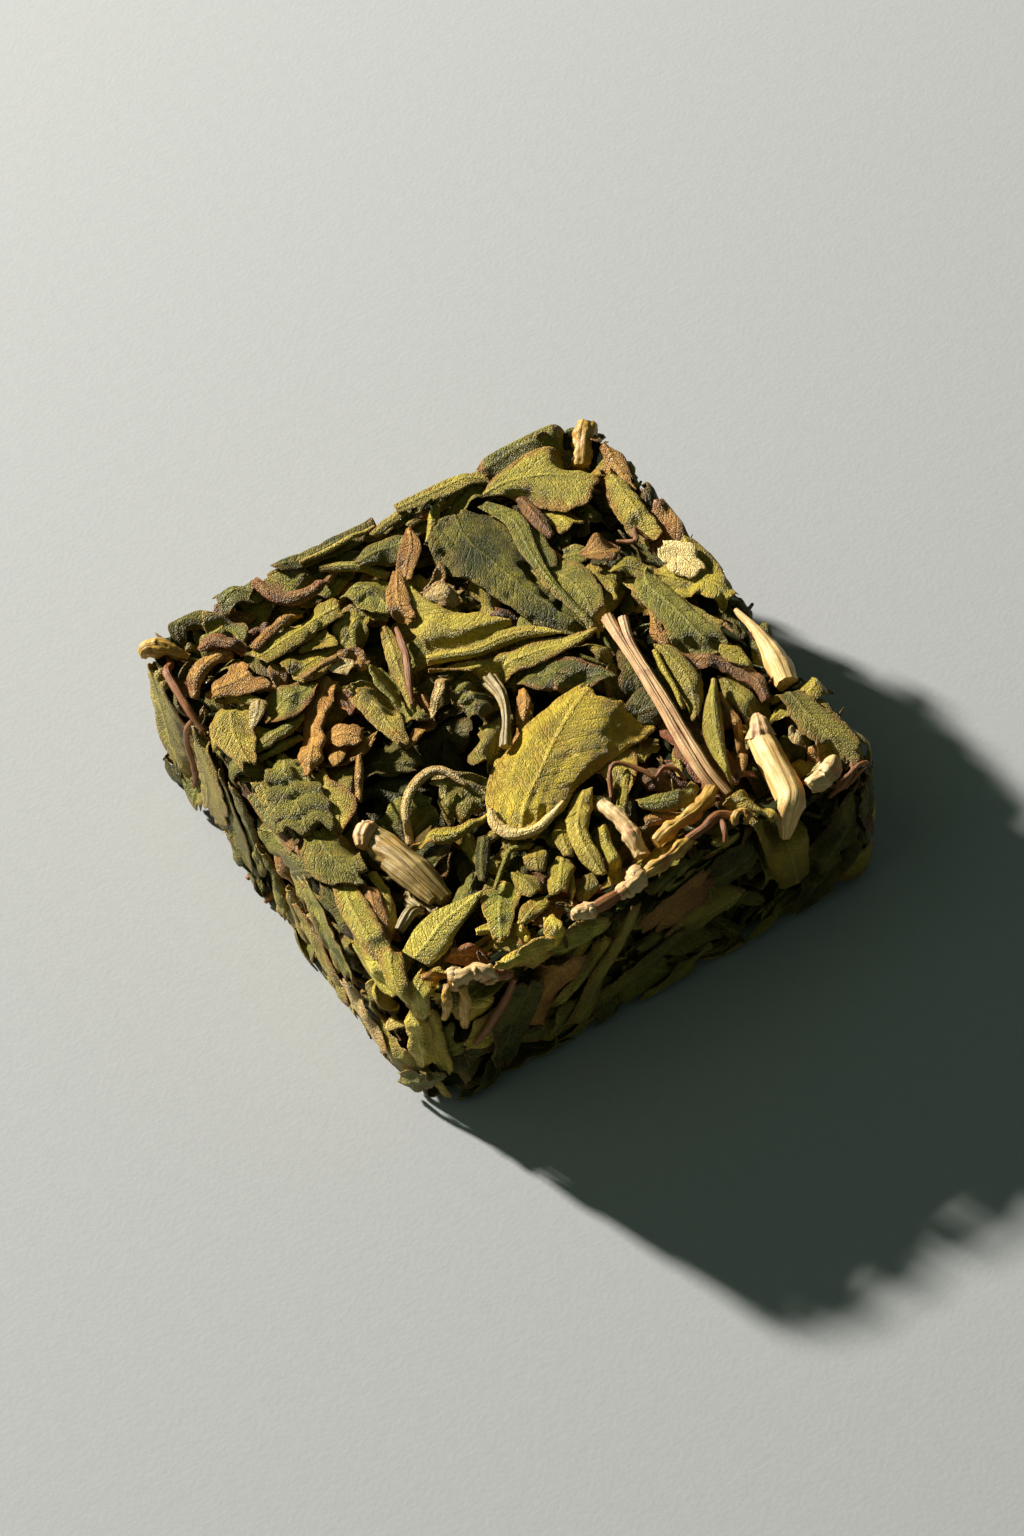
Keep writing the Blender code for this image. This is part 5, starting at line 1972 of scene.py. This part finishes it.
class CrumbTree:
    """Geometry Nodes that strew small flakes over a surface."""

    def __init__(self) -> None:
        """Builds the tree, with inputs for the flakes, their number, sizes, lean and seed."""
        self.tree = node_group("Strewn Crumbs", "GeometryNodeTree",
                               {**GROWN, "Flakes": ("NodeSocketCollection", None),
                                "Density": (FLOAT, 100000.0), "Smallest": (FLOAT, 0.6),
                                "Largest": (FLOAT, 1.4), "Lean": (FLOAT, 0.6),
                                "Seed": ("NodeSocketInt", 1)}, {"Geometry": "NodeSocketGeometry"})
        g = Graph(self.tree)
        given = g.add("NodeGroupInput").outputs
        points = g.add("GeometryNodeDistributePointsOnFaces",
                       {"Mesh": given["Geometry"], "Density": given["Density"], "Seed": given["Seed"]})
        flakes = g.add("GeometryNodeCollectionInfo",
                       {"Collection": given["Flakes"], "Separate Children": True, "Reset Children": True})

        def random(low: object, high: object, offset: int, kind: str = "FLOAT") -> NodeSocket:
            """A random value for each point.

            Args:
                low: its least value.
                high: its greatest value.
                offset: what is added to the seed.
                kind: the type of the value.

            Returns:
                The value.
            """
            least, most, result = {"FLOAT": (2, 3, 1), "FLOAT_VECTOR": (0, 1, 0)}[kind]
            seed = g.math("ADD", given["Seed"], float(offset))
            values = {least: low, most: high, "Seed": seed}
            return g.add("FunctionNodeRandomValue", values, data_type=kind).outputs[result]

        spin = g.add("ShaderNodeCombineXYZ", {0: g.times(random(-1.0, 1.0, 1), given["Lean"]),
                                              1: g.times(random(-1.0, 1.0, 2), given["Lean"]),
                                              2: random(0.0, 2 * math.pi, 3)})
        turned = g.add("FunctionNodeEulerToRotation", {0: spin.outputs[0]})
        rotation = g.add("FunctionNodeRotateRotation",
                         {"Rotation": points.outputs["Rotation"], "Rotate By": turned.outputs[0]},
                         rotation_space="LOCAL")
        size = random(given["Smallest"], given["Largest"], 4)
        laid = g.add("GeometryNodeInstanceOnPoints", {"Points": points.outputs["Points"],
                                                      "Instance": flakes.outputs[0], "Pick Instance": True,
                                                      "Rotation": rotation.outputs[0], "Scale": size})
        # Each crumb is darkened to about a third to three quarters of its finish: painted shade for the gaps
        # it lies in.
        shade = random((0.34, 0.36, 0.3), (0.78, 0.78, 0.7), 5, "FLOAT_VECTOR")
        tinted = g.add("GeometryNodeStoreNamedAttribute",
                       {"Geometry": laid.outputs[0], "Name": "tint", "Value": shade},
                       data_type="FLOAT_COLOR", domain="INSTANCE")
        g.dress(tinted, given["Material"])


@dataclass
class Crumbs:
    """Small flakes and leaf ends that lie in the gaps, on the core."""

    core: Object
    kinds: tuple[tuple[Finish, float], ...] = ((DARK, 90000.0), (KHAKI, 40000.0), (OLIVE, 60000.0),
                                               (BROWN, 30000.0))
    shapes: tuple[Triple, ...] = ((2.6, 1.4, 60), (3.2, 0.7, 150), (1.8, 1.5, -40), (2.9, 1.0, 100),
                                  (2.2, 0.5, 40))
    smallest: float = 0.5
    largest: float = 1.15
    lean: float = 0.7
    thickness: float = 0.16
    wave: float = 0.35

    def flakes(self) -> Collection:
        """A few curled flakes to strew.

        Returns:
            A collection of their meshes, which isn't in the scene.
        """
        home = bpy.data.collections.new("flakes")
        noise = Noise(29)
        for number, (length, width, curl) in enumerate(self.shapes):
            u, s = np.linspace(0, 1, 7)[:, None], np.linspace(-1, 1, 3)[None, :]
            half = width / 2 * np.maximum(np.sin(np.pi * np.clip(u * 0.92 + 0.04, 0, 1)) ** 0.6, 0.08)
            angle = math.radians(curl) * np.abs(s)
            y, z = s * half * np.cos(angle / 2), half * np.abs(s) * np.sin(angle / 2)
            x = (u - 0.5) * length
            wave = self.wave * noise(together(u * length * 0.8, s * width, number * 9.0))
            points = together(x, y, z + wave + 0.2)
            shells = Shells()
            fields = np.broadcast_arrays(self.thickness, u, s, u * length, s * half)
            shells.add(Sheet(points, *fields, 0.1 * number, (1.0, 1.0, 1.0, 0.4)))
            mesh = shells.mesh(f"flake_{number}")
            mesh.attributes.remove(mesh.attributes["tint"])
            home.objects.link(bpy.data.objects.new(f"flake_{number}", mesh))
        return home

    def build(self, finishes: Finishes) -> list[Object]:
        """Strews each kind of crumb over the core.

        Args:
            finishes: the materials.

        Returns:
            The pieces.
        """
        tree = CrumbTree().tree
        home = self.flakes()
        pieces = []
        for seed, (finish, density) in enumerate(self.kinds, 1):
            piece = grow(self.core.data.copy(), tree, f"{finish.value.name}_crumbs",
                         {"Flakes": home, "Density": density, "Smallest": self.smallest,
                          "Largest": self.largest, "Lean": self.lean, "Seed": seed,
                          "Material": finishes.leaf(finish.value)})
            pieces.append(piece)
        for flake in list(home.objects):
            bpy.data.objects.remove(flake)
        bpy.data.collections.remove(home)
        return pieces


@dataclass
class Studio:
    """The floor, the lights and the camera."""

    camera_place: Triple = (-91.921, -176.657, 274.249)
    lens: float = 102.0
    roll: float = -5.409
    azimuth: float = -27.516
    elevation: float = 53.424
    floor_half: float = 2.5
    sky: Triple = (0.72, 1.0, 0.8)
    sky_strength: float = 0.055

    def camera(self) -> None:
        """Looks down on the brick from its front, over the worn corner."""
        turn, rise, roll = (math.radians(v) for v in (self.azimuth, self.elevation, self.roll))
        back = Vector((math.sin(turn) * math.cos(rise), -math.cos(turn) * math.cos(rise), math.sin(rise)))
        right = Vector((math.cos(turn), math.sin(turn), 0.0))
        up = back.cross(right)
        rolled = right * math.cos(roll) + up * math.sin(roll)
        up = up * math.cos(roll) - right * math.sin(roll)
        data = bpy.data.cameras.new("camera")
        data.lens = self.lens
        data.sensor_width = 36.0
        data.clip_start, data.clip_end = 0.01, 10.0
        camera = bpy.data.objects.new("camera", data)
        axes = Matrix((rolled, up, back)).transposed().to_4x4()
        camera.matrix_world = Matrix.Translation(Vector(self.camera_place) * MM) @ axes
        bpy.context.scene.collection.objects.link(camera)
        bpy.context.scene.camera = camera

    def floor(self) -> Object:
        """A plain pale floor under the brick.

        Returns:
            The floor.
        """
        half = self.floor_half
        corners = np.array([[-half, -half, 0], [half, -half, 0], [half, half, 0], [-half, half, 0]], float)
        corners[:, 2] = CAD_BOX[0][2]
        material, g = new_material("pale_paper")
        place = g.add("ShaderNodeTexCoord").outputs["Object"]
        colour = g.mix(g.noise(place, 900.0, 3.0), srgb(180, 184, 186), srgb(187, 191, 193))
        coat(g, colour, 0.9, g.noise(place, 2500.0, 3.0), (0.15, 0.0001), 0.5)
        floor = add_object("floor", quad_mesh("floor", corners, np.array([[0, 1, 2, 3]])), material)
        return floor

    def light(self, name: str, towards: Triple, distance: float, size: float, power: float,
              colour: Triple) -> None:
        """Adds a soft square light that faces the brick.

        Args:
            name: its name.
            towards: the direction to it.
            distance: how far away it is, in metres.
            size: its side, in metres.
            power: its power in watts.
            colour: its colour.
        """
        data = bpy.data.lights.new(name, "AREA")
        data.shape, data.size, data.energy, data.color = "SQUARE", size, power, colour
        lamp = bpy.data.objects.new(name, data)
        direction = Vector(towards).normalized()
        turn = direction.to_track_quat("Z", "Y").to_matrix().to_4x4()
        lamp.matrix_world = Matrix.Translation(direction * distance) @ turn
        bpy.context.scene.collection.objects.link(lamp)

    def lights(self) -> None:
        """A warm low key from the far left, a weak cool fill and a dim sky."""
        self.light("key", (-0.36, 0.90, 0.445), 0.9, 0.05, 20.2, (1.0, 0.943, 0.86))
        self.light("fill", (-1.0, 0.35, 1.3), 1.2, 1.0, 0.64, (0.8, 1.0, 0.78))
        world = bpy.data.worlds.new("sky")
        world.use_nodes = True
        background = world.node_tree.nodes["Background"]
        background.inputs["Color"].default_value = (*self.sky, 1.0)
        background.inputs["Strength"].default_value = self.sky_strength
        bpy.context.scene.world = world
        bpy.context.scene.view_settings.view_transform = "Standard"


def main() -> None:
    """Builds the brick's looks from the outside inwards and sets up the studio."""
    logging.basicConfig(level=logging.INFO, format="%(message)s")
    high = np.array(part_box("brick")[1]) / MM
    mould = Mould(half=float(high[0]) - INSET, height=float(high[2]) - INSET)
    finishes = Finishes()
    heap = Heap(mould, finishes)
    for stalk in STALKS:
        heap.lay_stalk(stalk)
    for leaf in LEAVES:
        heap.lay_leaf(leaf, heap.fine, "whole_leaves")
    for leaf in TornLeaves(mould).scatter():
        heap.lay_leaf(leaf, heap.coarse, "torn_leaves")
    core = PressedCore(mould, heap.bed).build(finishes)
    pieces = [core, *heap.leaf_pieces(), *heap.stalk_pieces(), *Crumbs(core).build(finishes)]
    for piece in pieces:
        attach(piece, "root")
        triangles = sum(len(face.vertices) - 2 for face in piece.data.polygons)
        LOG.info("piece %s: %d triangles", piece.name, triangles)
    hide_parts("brick")
    studio = Studio()
    studio.floor()
    studio.lights()
    studio.camera()


if __name__ == "__main__":
    main()
